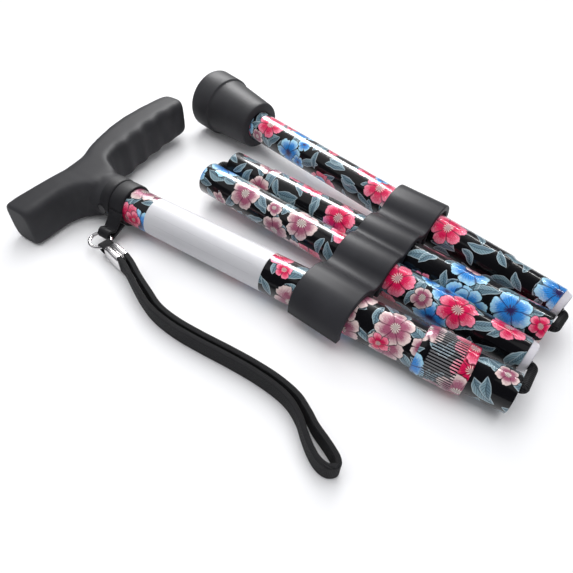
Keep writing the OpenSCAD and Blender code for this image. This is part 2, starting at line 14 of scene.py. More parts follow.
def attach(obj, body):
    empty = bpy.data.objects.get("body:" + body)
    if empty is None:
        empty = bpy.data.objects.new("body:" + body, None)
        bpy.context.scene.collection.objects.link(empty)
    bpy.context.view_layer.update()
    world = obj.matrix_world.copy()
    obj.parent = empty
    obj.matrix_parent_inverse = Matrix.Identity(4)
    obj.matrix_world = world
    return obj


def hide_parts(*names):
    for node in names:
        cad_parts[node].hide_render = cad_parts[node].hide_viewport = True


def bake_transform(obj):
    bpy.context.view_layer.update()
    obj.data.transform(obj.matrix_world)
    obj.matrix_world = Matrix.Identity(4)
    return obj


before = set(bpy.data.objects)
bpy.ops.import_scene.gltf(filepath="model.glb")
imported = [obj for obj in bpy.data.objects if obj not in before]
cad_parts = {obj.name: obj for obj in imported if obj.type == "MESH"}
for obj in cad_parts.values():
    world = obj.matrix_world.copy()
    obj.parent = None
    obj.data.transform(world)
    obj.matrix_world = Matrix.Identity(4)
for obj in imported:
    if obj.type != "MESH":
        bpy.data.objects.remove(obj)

logging.basicConfig(level=logging.INFO, format="%(message)s")
LOG = logging.getLogger("cane")
MM = 0.001
# Radius that stands for a point on the axis of a turned profile
AXIS = 0.001
Colour = tuple[float, float, float]
Tints = tuple[Colour, Colour, Colour, Colour]
Line = list[tuple[float, float]]
Value = Union[Socket, float, Sequence[float], None]
Inputs = dict[Union[str, int], Value]


class Body(str, Enum):
    """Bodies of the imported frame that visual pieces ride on."""

    ROOT = "handle_section"
    LOCK = "lock_collar"
    EXTENSION = "extension"
    UPPER = "upper_middle_section"
    LOWER = "lower_middle_section"
    TIP = "tip_section"
    CLIP = "clip"
    UPPER_LINK = "upper_link"
    MIDDLE_LINK = "middle_link"
    LOWER_LINK = "lower_link"


class Slot(str, Enum):
    """Material slots of the record."""

    GRIP = "grip"
    CLIP = "clip"
    PRINT = "print"
    RING = "ring_print"
    LABEL = "label"
    BAND = "band"
    TAPE = "tape"
    CHROME = "chrome"
    STEEL = "steel"
    NYLON = "nylon"
    PLUG = "plug"
    CORD = "cord"
    RUBBER = "rubber"


class Lamp(Enum):
    """What a lamp does: light the surfaces, show in shiny ones, or both."""

    FILL = "fill"
    GLEAM = "gleam"
    BOTH = "both"


@dataclass(frozen=True)
class Layout:
    """Sizes of the folded cane in millimetres, the same as the CAD's, and the frames they give."""

    upper_r: float = 11.0
    lower_r: float = 9.75
    wall: float = 1.0
    male_r: float = 8.7
    male_bore: float = 7.7
    male_start: float = 4.2
    male_len: float = 28.0
    section_len: float = 202.0
    tip_section_len: float = 262.0
    splay: float = math.radians(6.5)
    side_gap: float = 0.25
    reach: float = 1.5
    tip_r: float = 21.0
    tip_floor: float = 8.0
    cord_r: float = 2.4
    cord_side: float = 3.98
    bend_turn: float = 3.0
    neck_x: float = -231.5
    upper_high: float = -261.5
    upper_low: float = -29.5
    grip_depth: float = 50.5
    heel: tuple = (-262.053, -40.690, 12.925)
    grip_short: float = 48.5
    ring_r: float = 12.5
    ring_low: float = -24.5

    @property
    def run(self) -> float:
        """Distance between a middle section's two pivots."""
        return self.male_start + self.section_len + self.reach

    @property
    def tip_end(self) -> float:
        """Place of the rubber tip's ground face along the lowest section, from its pivot."""
        return self.male_start + self.tip_section_len + self.tip_floor

    def directions(self) -> tuple[Vector, Vector, Vector, Vector]:
        """Directions of the fan, seen from above.

        Returns:
            Along and across the middle sections, then along and across the lowest one.
        """
        a, b = self.splay, 2 * self.splay
        return (Vector((-math.cos(a), math.sin(a), 0)), Vector((math.sin(a), math.cos(a), 0)),
                Vector((-math.cos(b), math.sin(b), 0)), Vector((math.sin(b), math.cos(b), 0)))

    def pivots(self) -> tuple[Vector, Vector, Vector]:
        """Pivots of the three folding joints on the bench.

        Returns:
            The upper, middle and lower pivot.
        """
        along, across, _, _ = self.directions()
        upper = Vector((self.reach, self.upper_r + self.side_gap, 0))
        middle = self.feet()[0] + self.run * along + (self.lower_r + self.side_gap) * across
        lower = self.feet()[1] - self.run * along + (self.lower_r + self.side_gap) * across
        return upper, middle, lower

    def feet(self) -> tuple[Vector, Vector, Vector]:
        """Points on the three lower sections' middle lines beside their pivots.

        Returns:
            The feet of the upper middle, lower middle and lowest section.
        """
        along, across, _, across_tip = self.directions()
        half_u, half_l = self.upper_r + self.side_gap, self.lower_r + self.side_gap
        foot_b = Vector((self.reach, half_u, 0)) + half_u * across
        foot_c = foot_b + self.run * along + 2 * half_l * across
        foot_d = foot_c - self.run * along + half_l * across + half_l * across_tip
        return foot_b, foot_c, foot_d

    def ground_face(self) -> Vector:
        """Middle of the rubber tip's ground face on the bench."""
        return self.feet()[2] + self.tip_end * self.directions()[2]

    def bench(self) -> Matrix:
        """Frame of the bench, with the upper tube along X, in the row frame.

        Returns:
            The matrix from bench millimetres to the row frame's metres.
        """
        across_tip = self.directions()[3]
        slope_x, slope_y = self.slopes()
        steep = Vector((slope_x, slope_y, 1)).length
        lift = (self.ring_r - slope_x * self.ring_low) / steep + self.tip_r * (steep - 1)
        bend = self.lower_r + self.side_gap - self.cord_side - self.bend_turn
        nose = self.pivots()[2].x + bend * math.sin(2 * self.splay) + self.bend_turn + self.cord_r
        mid_x = (self.neck_x - self.grip_depth + nose) / 2
        mid_y = (self.ground_face().y + self.tip_r * across_tip.y - self.grip_short) / 2
        pitch = Matrix.Rotation(-math.asin(slope_x / steep), 4, "Y")
        roll = Matrix.Rotation(math.atan(slope_y), 4, "X")
        return Matrix.Scale(MM, 4) @ Matrix.Translation((-mid_x, -mid_y, lift)) @ (pitch @ roll)

    def slopes(self) -> tuple[float, float]:
        """Slopes of the bench over the floor, from the tip, the lock ring and the short end of the grip.

        Returns:
            Rise along X and along Y.
        """
        base = self.ground_face()
        tip = (base.x - self.ring_low, base.y, self.tip_r - self.ring_r)
        heel = (self.heel[0] - self.ring_low, self.heel[1], self.heel[2] - self.ring_r)
        scale = tip[0] * heel[1] - tip[1] * heel[0]
        rise_x = (tip[2] * heel[1] - tip[1] * heel[2]) / scale
        rise_y = (tip[0] * heel[2] - heel[0] * tip[2]) / scale
        return rise_x, rise_y

    def section(self, index: int) -> Matrix:
        """Frame of the upper middle (0), lower middle (1) or lowest (2) section, along X from its pivot."""
        turn = (math.pi - self.splay, -self.splay, math.pi - 2 * self.splay)[index]
        return self.bench() @ Matrix.Translation(self.feet()[index]) @ Matrix.Rotation(turn, 4, "Z")

    def floor_at(self, x: float, y: float) -> float:
        """Height of the floor in the bench frame, at a place along and across the upper tube."""
        m = self.bench()
        return -(m[2][0] * x + m[2][1] * y + m[2][3]) / m[2][2]


class Graph:
    """Short calls for making and joining the nodes of one tree."""

    def __init__(self, tree: NodeTree) -> None:
        """Holds a shader or geometry node tree."""
        self.tree = tree

    def put(self, socket: Socket, value: Value) -> None:
        """Joins or sets an input.

        Args:
            socket: The input.
            value: An output socket, or a constant.
        """
        if isinstance(value, Socket):
            self.tree.links.new(value, socket)
        else:
            opaque = socket.type == "RGBA" and len(value) == 3
            socket.default_value = (*value, 1.0) if opaque else value

    def fill(self, node: Node, inputs: Inputs) -> Node:
        """Joins or sets several inputs of a node.

        Args:
            node: The node.
            inputs: Output sockets or constants by input name or number; None leaves an input alone.

        Returns:
            The same node.
        """
        for key, value in inputs.items():
            if value is not None:
                self.put(node.inputs[key], value)
        return node

    def node(self, kind: str, inputs: Inputs | None = None, **settings: object) -> Node:
        """Adds a node.

        Args:
            kind: The node's type name.
            inputs: Output sockets or constants by input name or number.
            **settings: Properties to set on it.

        Returns:
            The new node.
        """
        made = self.tree.nodes.new(kind)
        for key, value in settings.items():
            setattr(made, key, value)
        return self.fill(made, inputs or {})

    def math(self, operation: str, *values: Value) -> Socket:
        """Result of one Math node."""
        return self.node("ShaderNodeMath", dict(enumerate(values)), operation=operation).outputs[0]

    def plus(self, a: Value, b: Value) -> Socket:
        """Sum of two values."""
        return self.math("ADD", a, b)

    def minus(self, a: Value, b: Value) -> Socket:
        """First value less the second."""
        return self.math("SUBTRACT", a, b)

    def times(self, a: Value, b: Value) -> Socket:
        """Product of two values."""
        return self.math("MULTIPLY", a, b)

    def over(self, a: Value, b: Value) -> Socket:
        """First value divided by the second."""
        return self.math("DIVIDE", a, b)

    def invert(self, mask: Value) -> Socket:
        """One less a mask."""
        return self.math("SUBTRACT", 1.0, mask)

    def centred(self, value: Value, size: Value) -> Socket:
        """A value between 0 and 1, moved to lie about 0 and scaled."""
        return self.times(self.minus(value, 0.5), size)

    def between(self, value: Value, low: float, high: float) -> Socket:
        """Mask of the values between two limits."""
        return self.times(self.math("GREATER_THAN", value, low), self.math("LESS_THAN", value, high))

    def vector(self, operation: str, a: Value, b: Value = None, scale: Value = None) -> Socket:
        """One vector sum.

        Args:
            operation: The Vector Math node's operation.
            a: First vector.
            b: Second vector.
            scale: Factor for SCALE.

        Returns:
            The result, a number for LENGTH and else a vector.
        """
        made = self.node("ShaderNodeVectorMath", {0: a, 1: b, "Scale": scale}, operation=operation)
        return made.outputs["Value" if operation == "LENGTH" else "Vector"]

    def step(self, value: Value, low: float, high: float) -> Socket:
        """Mask that rises smoothly from 0 at the low value to 1 at the high one."""
        inputs = {"Value": value, "From Min": low, "From Max": high}
        return self.node("ShaderNodeMapRange", inputs, interpolation_type="SMOOTHSTEP").outputs[0]

    def mix(self, factor: Value, a: Value, b: Value) -> Socket:
        """Colour mixed from a first one, at factor 0, to a second one, at factor 1."""
        return self.node("ShaderNodeMix", {0: factor, 6: a, 7: b}, data_type="RGBA").outputs[2]

    def noise(self, vector: Value, scale: Value, detail: float = 2.0) -> Node:
        """Noise texture at some coordinates."""
        return self.node("ShaderNodeTexNoise", {"Vector": vector, "Scale": scale, "Detail": detail})

    def cloud(self, vector: Value, scale: Value, detail: float = 2.0) -> Socket:
        """Grey values of a noise texture."""
        return self.noise(vector, scale, detail).outputs[0]

    def bump(self, height: Value, strength: float, depth: Value) -> Socket:
        """Normal of a relief whose depth is in metres."""
        inputs = {"Strength": strength, "Distance": depth, "Height": height}
        return self.node("ShaderNodeBump", inputs).outputs[0]

    def place(self) -> Socket:
        """Object coordinates, in metres."""
        return self.node("ShaderNodeTexCoord").outputs["Object"]

    def uv(self) -> Socket:
        """The piece's own UV, in millimetres."""
        return self.node("ShaderNodeUVMap").outputs[0]

    def split(self, vector: Value) -> tuple[Socket, Socket, Socket]:
        """Parts of a vector."""
        return tuple(self.node("ShaderNodeSeparateXYZ", {0: vector}).outputs)

    def join(self, x: Value, y: Value, z: Value) -> Socket:
        """Vector from its parts."""
        return self.node("ShaderNodeCombineXYZ", {0: x, 1: y, 2: z}).outputs[0]

    def use(self, group: NodeTree, **inputs: Value) -> dict[str, Socket]:
        """Outputs by name of a node group that is placed with its own values."""
        made = self.node("ShaderNodeGroup", node_tree=group)
        return {out.name: out for out in self.fill(made, inputs).outputs}


def make_group(name: str, inputs: dict[str, str], outputs: dict[str, str],
               kind: str = "ShaderNodeTree") -> tuple[Graph, dict[str, Socket], dict[str, Socket]]:
    """Starts a node group.

    Args:
        name: The group's name.
        inputs: Input names, parted by spaces, by the kind of their sockets.
        outputs: Output names in the same way.
        kind: The tree's type name.

    Returns:
        The graph, its input sockets and its output sockets by name.
    """
    tree = bpy.data.node_groups.new(name, kind)
    for side, sockets in (("INPUT", inputs), ("OUTPUT", outputs)):
        for socket_kind, names in sockets.items():
            for key in names.split():
                tree.interface.new_socket(key, in_out=side, socket_type="NodeSocket" + socket_kind)
    g = Graph(tree)
    start, end = g.node("NodeGroupInput"), g.node("NodeGroupOutput")
    return g, {s.name: s for s in start.outputs if s.name}, {s.name: s for s in end.inputs if s.name}


def start_material(name: str) -> tuple[Material, Graph, Node]:
    """Starts a material.

    Args:
        name: The material's name.

    Returns:
        The material, its graph and its Principled BSDF.
    """
    mat = bpy.data.materials.new(name)
    mat.use_nodes = True
    g = Graph(mat.node_tree)
    return mat, g, g.tree.nodes["Principled BSDF"]


def add_object(name: str, data: ID) -> Object:
    """Puts a mesh, a curve, a light or a camera in the scene.

    Args:
        name: The object's name.
        data: What it shows.

    Returns:
        The object.
    """
    obj = bpy.data.objects.new(name, data)
    bpy.context.scene.collection.objects.link(obj)
    return obj


class PrintGroups:
    """Shared shader effects: the floral print's, on a UV in millimetres, and the plain surfaces' grain."""

    seed_shift: tuple[float, float] = (0.37, 0.61)
    petal_round: float = 0.45
    petal_frill: float = 0.22
    veins_each: float = 7.0
    vein_sway: float = 9.0
    stamens: float = 13.0
    soft_edge: float = 0.22
    leaf_bow: float = 1.4
    leaf_round: float = 0.85
    leaf_veins: float = 4.4
    flower_notch: float = 0.3
    halo_reach: float = 1.07
    # Throat, petal, rim and heart colours of each kind of flower, and the limits of the first two kinds
    crimson: Tints = ((0.10, 0.0, 0.015), (0.72, 0.01, 0.09), (0.95, 0.24, 0.36), (0.86, 0.66, 0.62))
    azure: Tints = ((0.01, 0.015, 0.10), (0.03, 0.26, 0.72), (0.42, 0.74, 0.92), (0.05, 0.02, 0.05))
    blush: Tints = ((0.12, 0.015, 0.05), (0.36, 0.10, 0.17), (0.80, 0.64, 0.61), (0.80, 0.82, 0.70))
    crimson_to: float = 0.36
    azure_to: float = 0.70
    chalk: Colour = (0.9, 0.88, 0.88)
    gap: Colour = (0.006, 0.006, 0.008)

    def __init__(self) -> None:
        """Builds the groups."""
        self.cell = self._cell()
        self.flower = self._flower()
        self.leaf = self._leaf()
        self.bloom = self._bloom()
        self.grain = self._grain()

    def _cell(self) -> NodeTree:
        """Cells of a jittered grid that closes round the tube.

        Returns:
            The group.
        """
        g, i, o = make_group("Print cells", {"Vector": "UV Cell", "Float": "Around Seed Jitter"},
                             {"Vector": "Local", "Float": "Pick Size"})
        x, y, _ = g.split(i["UV"])
        cx, cy, _ = g.split(i["Cell"])
        px, py = (g.plus(g.over(way, cell), g.times(i["Seed"], shift))
                  for way, cell, shift in zip((x, y), (cx, cy), self.seed_shift))
        ix = g.math("FLOOR", px)
        # Every second column is set half a cell on, so the rows do not line up
        py = g.plus(py, g.times(g.math("FLOORED_MODULO", ix, 2.0), 0.5))
        iy = g.math("FLOOR", py)
        wrap = g.math("FLOORED_MODULO", iy, i["Around"])
        number = g.join(ix, wrap, i["Seed"])
        rnd = g.node("ShaderNodeTexWhiteNoise", {"Vector": number}, noise_dimensions="3D")
        r, q, a = g.split(rnd.outputs["Color"])
        lx, ly = (g.minus(g.centred(g.minus(p, whole), cell), g.centred(random, i["Jitter"]))
                  for p, whole, cell, random in ((px, ix, cx, r), (py, iy, cy, q)))
        inputs = {"Vector": g.join(lx, ly, 0.0), "Angle": g.times(a, math.tau)}
        turn = g.node("ShaderNodeVectorRotate", inputs, rotation_type="Z_AXIS")
        g.put(o["Local"], turn.outputs[0])
        g.put(o["Pick"], rnd.outputs["Value"])
        g.put(o["Size"], q)
        return g.tree

    def _flower(self) -> NodeTree:
        """Outline, shading and heart of one open flower.

        Returns:
            The group.
        """
        g, i, o = make_group("Flower", {"Vector": "Local", "Float": "Radius Petals Notch"},
                             {"Float": "Mask Reach Vein Seam Heart Ring"})
        x, y, _ = g.split(i["Local"])
        r = g.math("SQRT", g.plus(g.times(x, x), g.times(y, y)))
        a = g.math("ARCTAN2", y, x)
        wave = g.math("ABSOLUTE", g.math("COSINE", g.times(a, g.times(i["Petals"], 0.5))))
        lobe = g.math("POWER", wave, self.petal_round)
        frill = g.cloud(i["Local"], scale=0.55, detail=1.0)
        share = g.plus(g.invert(i["Notch"]), g.times(lobe, i["Notch"]))
        share = g.plus(share, g.centred(frill, self.petal_frill))
        edge = g.times(i["Radius"], share)
        g.put(o["Mask"], g.step(g.minus(edge, r), 0.0, self.soft_edge))
        reach = g.over(r, edge)
        g.put(o["Reach"], reach)
        sway = g.times(g.cloud(i["Local"], scale=0.35, detail=1.0), self.vein_sway)
        rays = g.math("SINE", g.plus(g.times(a, g.times(i["Petals"], self.veins_each)), sway))
        g.put(o["Vein"], g.times(g.step(rays, 0.35, 0.95), g.step(reach, 0.12, 0.45)))
        g.put(o["Seam"], g.times(g.invert(g.step(wave, 0.02, 0.34)), g.step(reach, 0.1, 0.3)))
        part = g.over(r, i["Radius"])
        g.put(o["Heart"], g.invert(g.step(part, 0.10, 0.15)))
        dots = g.step(g.math("SINE", g.times(a, self.stamens)), -0.2, 0.5)
        g.put(o["Ring"], g.times(g.invert(g.step(part, 0.20, 0.33)), dots))
        return g.tree

    def _leaf(self) -> NodeTree:
        """Outline and veins of one pointed leaf.

        Returns:
            The group.
        """
        g, i, o = make_group("Leaf", {"Vector": "Local", "Float": "Length Width"},
                             {"Float": "Mask Vein Edge Side"})
        x, y, _ = g.split(i["Local"])
        t = g.over(x, i["Length"])
        square = g.times(t, t)
        bow = g.plus(y, g.times(square, self.leaf_bow))
        taper = g.math("POWER", g.math("MAXIMUM", g.invert(square), 0.0), self.leaf_round)
        away = g.math("ABSOLUTE", bow)
        room = g.minus(g.times(i["Width"], taper), away)
        g.put(o["Mask"], g.step(room, 0.0, 0.2))
        rib = g.invert(g.step(away, 0.10, 0.30))
        comb = g.math("SINE", g.times(g.minus(x, g.times(away, 1.1)), self.leaf_veins))
        g.put(o["Vein"], g.math("MAXIMUM", rib, g.step(comb, 0.55, 0.95)))
        g.put(o["Edge"], g.invert(g.step(room, 0.15, 0.75)))
        g.put(o["Side"], g.step(bow, -0.3, 0.3))
        return g.tree

    def _bloom(self) -> NodeTree:
        """One layer of painted flowers laid over a colour.

        Returns:
            The group.
        """
        g, i, o = make_group("Bloom layer", {"Color": "Under", "Vector": "UV Cell",
                                             "Float": "Around Seed Radius Petals Share Jitter"},
                             {"Color": "Color"})
        c = g.use(self.cell, **{key: i[key] for key in ("UV", "Cell", "Around", "Seed", "Jitter")})
        size = g.times(i["Radius"], g.plus(0.86, g.times(c["Size"], 0.2)))
        f = g.use(self.flower, Local=c["Local"], Radius=size, Petals=i["Petals"], Notch=self.flower_notch)
        pick = g.math("FRACT", g.times(c["Pick"], 7.31))
        tints = self.blush
        for limit, others in ((self.azure_to, self.azure), (self.crimson_to, self.crimson)):
            here = g.math("LESS_THAN", pick, limit)
            tints = [g.mix(here, old, new) for old, new in zip(tints, others)]
        deep, full, pale, heart = tints
        reach = f["Reach"]
        warm = g.plus(reach, g.centred(g.cloud(c["Local"], scale=0.30), 0.55))
        petal = g.mix(g.step(warm, 0.02, 0.45), deep, full)
        petal = g.mix(g.step(warm, 0.50, 1.02), petal, pale)
        outer = g.step(reach, 0.45, 0.85)
        petal = g.mix(g.times(f["Vein"], g.math("MULTIPLY_ADD", outer, -0.45, 0.5)), petal, deep)
        strokes = g.cloud(g.vector("MULTIPLY", c["Local"], (0.5, 1.6, 1.0)), scale=1.1)
        brush = g.times(g.step(strokes, 0.5, 0.72), outer)
        petal = g.mix(g.times(brush, 0.6), petal, g.mix(0.6, pale, self.chalk))
        petal = g.mix(g.times(f["Seam"], 0.85), petal, deep)
        petal = g.mix(g.times(f["Ring"], 0.9), petal, heart)
        petal = g.mix(f["Heart"], petal, g.mix(0.6, heart, deep))
        shown = g.math("LESS_THAN", c["Pick"], i["Share"])
        # A thin dark gap is left round each flower where it lies on another
        halo = g.times(g.step(g.minus(self.halo_reach, reach), 0.0, 0.02), shown)
        under = g.mix(g.times(halo, 0.75), i["Under"], self.gap)
        g.put(o["Color"], g.mix(g.times(f["Mask"], shown), under, petal))
        return g.tree

    def _grain(self) -> NodeTree:
        """Fine moulded grain with faint wear.

        Returns:
            The group.
        """
        g, i, o = make_group("Grain", {"Vector": "Vector", "Float": "Scale Depth"},
                             {"Vector": "Normal", "Float": "Wear"})
        fine = g.cloud(i["Vector"], i["Scale"], detail=3.0)
        g.put(o["Normal"], g.bump(fine, strength=0.35, depth=i["Depth"]))
        g.put(o["Wear"], g.cloud(i["Vector"], scale=45.0, detail=3.0))
        return g.tree


@dataclass(frozen=True)
class Finish:
    """A plain surface: its colour, gloss and fine relief."""

    name: str
    colour: Colour
    rough: float
    metal: float = 0.0
    grain: float = 1400.0
    depth: float = 0.00008
    spread: float = 0.12
    coat: float = 0.0
    coat_rough: float = 0.12
    soft: float = 0.0
    soft_depth: Colour = (0.004, 0.004, 0.005)
    gloss: float = 0.5
    worn: float = 1.25

    def make(self, groups: PrintGroups) -> Material:
        """Builds the material.

        Args:
            groups: The shared shader groups.

        Returns:
            The material.
        """
        mat, g, bsdf = start_material(self.name)
        grain = g.use(groups.grain, Vector=g.place(), Scale=self.grain, Depth=self.depth)
        wear = g.minus(grain["Wear"], 0.5)
        light = tuple(min(1.0, c * self.worn + 0.004) for c in self.colour)
        g.fill(bsdf, {
            "Base Color": g.mix(g.step(wear, -0.25, 0.25), self.colour, light),
            "Roughness": g.plus(self.rough, g.times(wear, self.spread)), "Normal": grain["Normal"],
            "Metallic": self.metal, "Coat Weight": self.coat, "Coat Roughness": self.coat_rough,
            "Specular IOR Level": self.gloss})
        if self.soft:
            g.fill(bsdf, {"Subsurface Weight": self.soft, "Subsurface Radius": self.soft_depth,
                          "Subsurface Scale": 1.0})
        return mat


@dataclass(frozen=True)
class Weave:
    """A woven or braided black surface on the piece's own UV, in millimetres."""

    name: str
    colour: Colour
    along: float
    across: float
    rough: float = 0.75
    gloss: float = 0.2
    sheen: float = 0.03
    relief: float = 0.7
    depth: float = 0.00025
    # Factor by which the raised crowns of the weave are lightened, a painted highlight
    crown_highlight: float = 2.4

    def make(self, _groups: PrintGroups) -> Material:
        """Builds the material.

        Args:
            _groups: The shared shader groups, of which a weave needs none.

        Returns:
            The material.
        """
        mat, g, bsdf = start_material(self.name)
        x, y, _ = g.split(g.uv())
        u, v = g.over(x, self.along), g.over(y, self.across)
        height = g.times(*(g.math("SINE", g.times(way, math.tau)) for way in (g.plus(u, v), g.minus(u, v))))
        # Painted highlight on the weave's raised crowns and painted shade in the hollows, following the
        # relief
        light = tuple(c * self.crown_highlight + 0.004 for c in self.colour)
        g.fill(bsdf, {
            "Base Color": g.mix(g.step(height, -0.7, 0.9), self.colour, light), "Roughness": self.rough,
            "Normal": g.bump(height, self.relief, self.depth), "Specular IOR Level": self.gloss,
            "Sheen Weight": self.sheen, "Sheen Roughness": 0.5})
        return mat


@dataclass(frozen=True)
class LeafLayer:
    """Leaves of one size: how many go round, their pitch along the tube, and half their length and width."""

    count: int
    pitch: float
    half_len: float
    half_wide: float


@dataclass(frozen=True)
class FlowerLayer:
    """Flowers of one size: how many go round, pitch, radius, petals, share of cells, seed and jitter."""

    count: int
    pitch: float
    radius: float
    petals: float
    share: float
    seed: float
    jitter: float


@dataclass(frozen=True)
class FloralPrint:
    """Glossy film printed with open flowers and leaves on black, closed round a tube, in millimetres."""

    name: str
    round_mm: float
    seed: float
    rough: float = 0.34
    gloss: float = 1.0
    coat: float = 0.8
    coat_rough: float = 0.09
    coat_ior: float = 1.36
    rib_pitch: float = 0.0
    rib_band: tuple[float, float] = (0.0, 0.0)
    ground: Colour = (0.003, 0.003, 0.004)
    leaf_tints: tuple[Colour, Colour] = ((0.12, 0.20, 0.25), (0.20, 0.31, 0.36))
    leaf_vein: Colour = (0.018, 0.035, 0.05)
    leaf_edge: Colour = (0.50, 0.60, 0.64)
    # Colour of the painted highlight over a ring's rib band, and of the painted shade in its grooves
    rib_highlight: Colour = (0.75, 0.76, 0.80)
    rib_groove_shade: Colour = (0.004, 0.004, 0.005)
    leaf_seeds: tuple[float, float] = (11.3, 5.7)
    leaf_jitter: float = 2.0
    wander: float = 2.4
    leaves: tuple[LeafLayer, ...] = (LeafLayer(4, 17.0, 7.4, 2.9), LeafLayer(5, 14.0, 5.6, 2.2))
    flowers: tuple[FlowerLayer, ...] = (
        FlowerLayer(3, 25.0, 10.2, 5.0, 0.50, 2.1, 4.0), FlowerLayer(3, 23.0, 9.6, 6.0, 0.46, 7.9, 4.0),
        FlowerLayer(4, 19.0, 5.4, 5.0, 0.34, 4.4, 6.0))

    def make(self, groups: PrintGroups) -> Material:
        """Builds the material.

        Args:
            groups: The shared shader groups.

        Returns:
            The material.
        """
        mat, g, bsdf = start_material(self.name)
        colour = self.paint(g, groups)
        # A ribbed ring gets a painted highlight over its rib band and painted shade in its grooves
        if self.rib_pitch:
            colour = self.rib(g, colour)
        peel = g.bump(g.cloud(g.place(), scale=260.0, detail=1.0), strength=0.05, depth=0.0002)
        g.fill(bsdf, {
            "Base Color": colour, "Specular Tint": colour, "Normal": peel, "Roughness": self.rough,
            "Specular IOR Level": self.gloss, "Coat Weight": self.coat,
            "Coat Roughness": self.coat_rough, "Coat IOR": self.coat_ior})
        return mat

    def grid(self, layer: LeafLayer | FlowerLayer) -> dict[str, Value]:
        """Cell size and count round the tube of a layer, by input name."""
        return {"Cell": (layer.pitch, self.round_mm / layer.count, 1.0), "Around": float(layer.count)}

    def paint(self, g: Graph, groups: PrintGroups) -> Socket:
        """Leaves, then flowers, laid over the dark ground.

        Args:
            g: The material's graph.
            groups: The shared shader groups.

        Returns:
            The colour.
        """
        uv = g.uv()
        shake = g.vector("SUBTRACT", g.noise(uv, scale=0.16, detail=1.0).outputs["Color"], (0.5, 0.5, 0.5))
        uv = g.vector("ADD", uv, g.vector("SCALE", shake, scale=self.wander))
        colour = self.ground
        first_seed, seed_step = self.leaf_seeds
        for number, layer in enumerate(self.leaves):
            cell = g.use(groups.cell, UV=uv, **self.grid(layer), Jitter=self.leaf_jitter,
                         Seed=self.seed + first_seed + seed_step * number)
            leaf = g.use(groups.leaf, Local=cell["Local"], Length=layer.half_len, Width=layer.half_wide)
            tint = g.mix(leaf["Side"], *self.leaf_tints)
            tint = g.mix(g.times(leaf["Vein"], 0.75), tint, self.leaf_vein)
            tint = g.mix(g.times(leaf["Edge"], 0.7), tint, self.leaf_edge)
            colour = g.mix(leaf["Mask"], colour, tint)
        for layer in self.flowers:
            bloom = g.use(groups.bloom, Under=colour, UV=uv, **self.grid(layer), Jitter=layer.jitter,
                          Seed=self.seed + layer.seed, Radius=layer.radius, Petals=layer.petals,
                          Share=layer.share)
            colour = bloom["Color"]
        return colour

    def rib(self, g: Graph, colour: Socket) -> Socket:
        """Painted highlight on the crests and painted shade in the grooves of the print's ribbed band.

        Args:
            g: The material's graph.
            colour: The print.

        Returns:
            The colour.
        """
        x, y, _ = g.split(g.uv())
        # Painted shade: the print turns near black in the grooves between the ribs
        shaded_groove = g.step(g.math("COSINE", g.times(y, math.tau / self.rib_pitch)), 0.35, -0.35)
        band = g.between(x, *self.rib_band)
        # Painted highlight: the whole rib band is lightened a little towards pale grey
        highlit_band = g.mix(g.times(band, 0.22), colour, self.rib_highlight)
        return g.mix(g.times(shaded_groove, band), highlit_band, self.rib_groove_shade)


@dataclass(frozen=True)
class LabelFilm:
    """Pale silvery film with plain ruled lines, on the piece's own UV in millimetres."""

    name: str = "Plain label"
    colour: Colour = (0.66, 0.66, 0.685)
    ink: Colour = (0.30, 0.30, 0.33)
    ink_share: float = 0.18
    rule_pitch: float = 5.5
    rule_share: float = 0.07
    ruled: tuple[float, float] = (-200.0, -134.0)
    rough: float = 0.50
    metal: float = 0.15
    coat: float = 0.10
    grain: float = 500.0
    depth: float = 0.00004

    def make(self, groups: PrintGroups) -> Material:
        """Builds the material.

        Args:
            groups: The shared shader groups.

        Returns:
            The material.
        """
        mat, g, bsdf = start_material(self.name)
        x, y, _ = g.split(g.uv())
        rule = g.math("LESS_THAN", g.math("FRACT", g.over(y, self.rule_pitch)), self.rule_share)
        drawn = g.times(rule, g.between(x, *self.ruled))
        grain = g.use(groups.grain, Vector=g.place(), Scale=self.grain, Depth=self.depth)
        g.fill(bsdf, {
            "Base Color": g.mix(g.times(drawn, self.ink_share), self.colour, self.ink),
            "Normal": grain["Normal"], "Metallic": self.metal, "Roughness": self.rough,
            "Coat Weight": self.coat})
        return mat


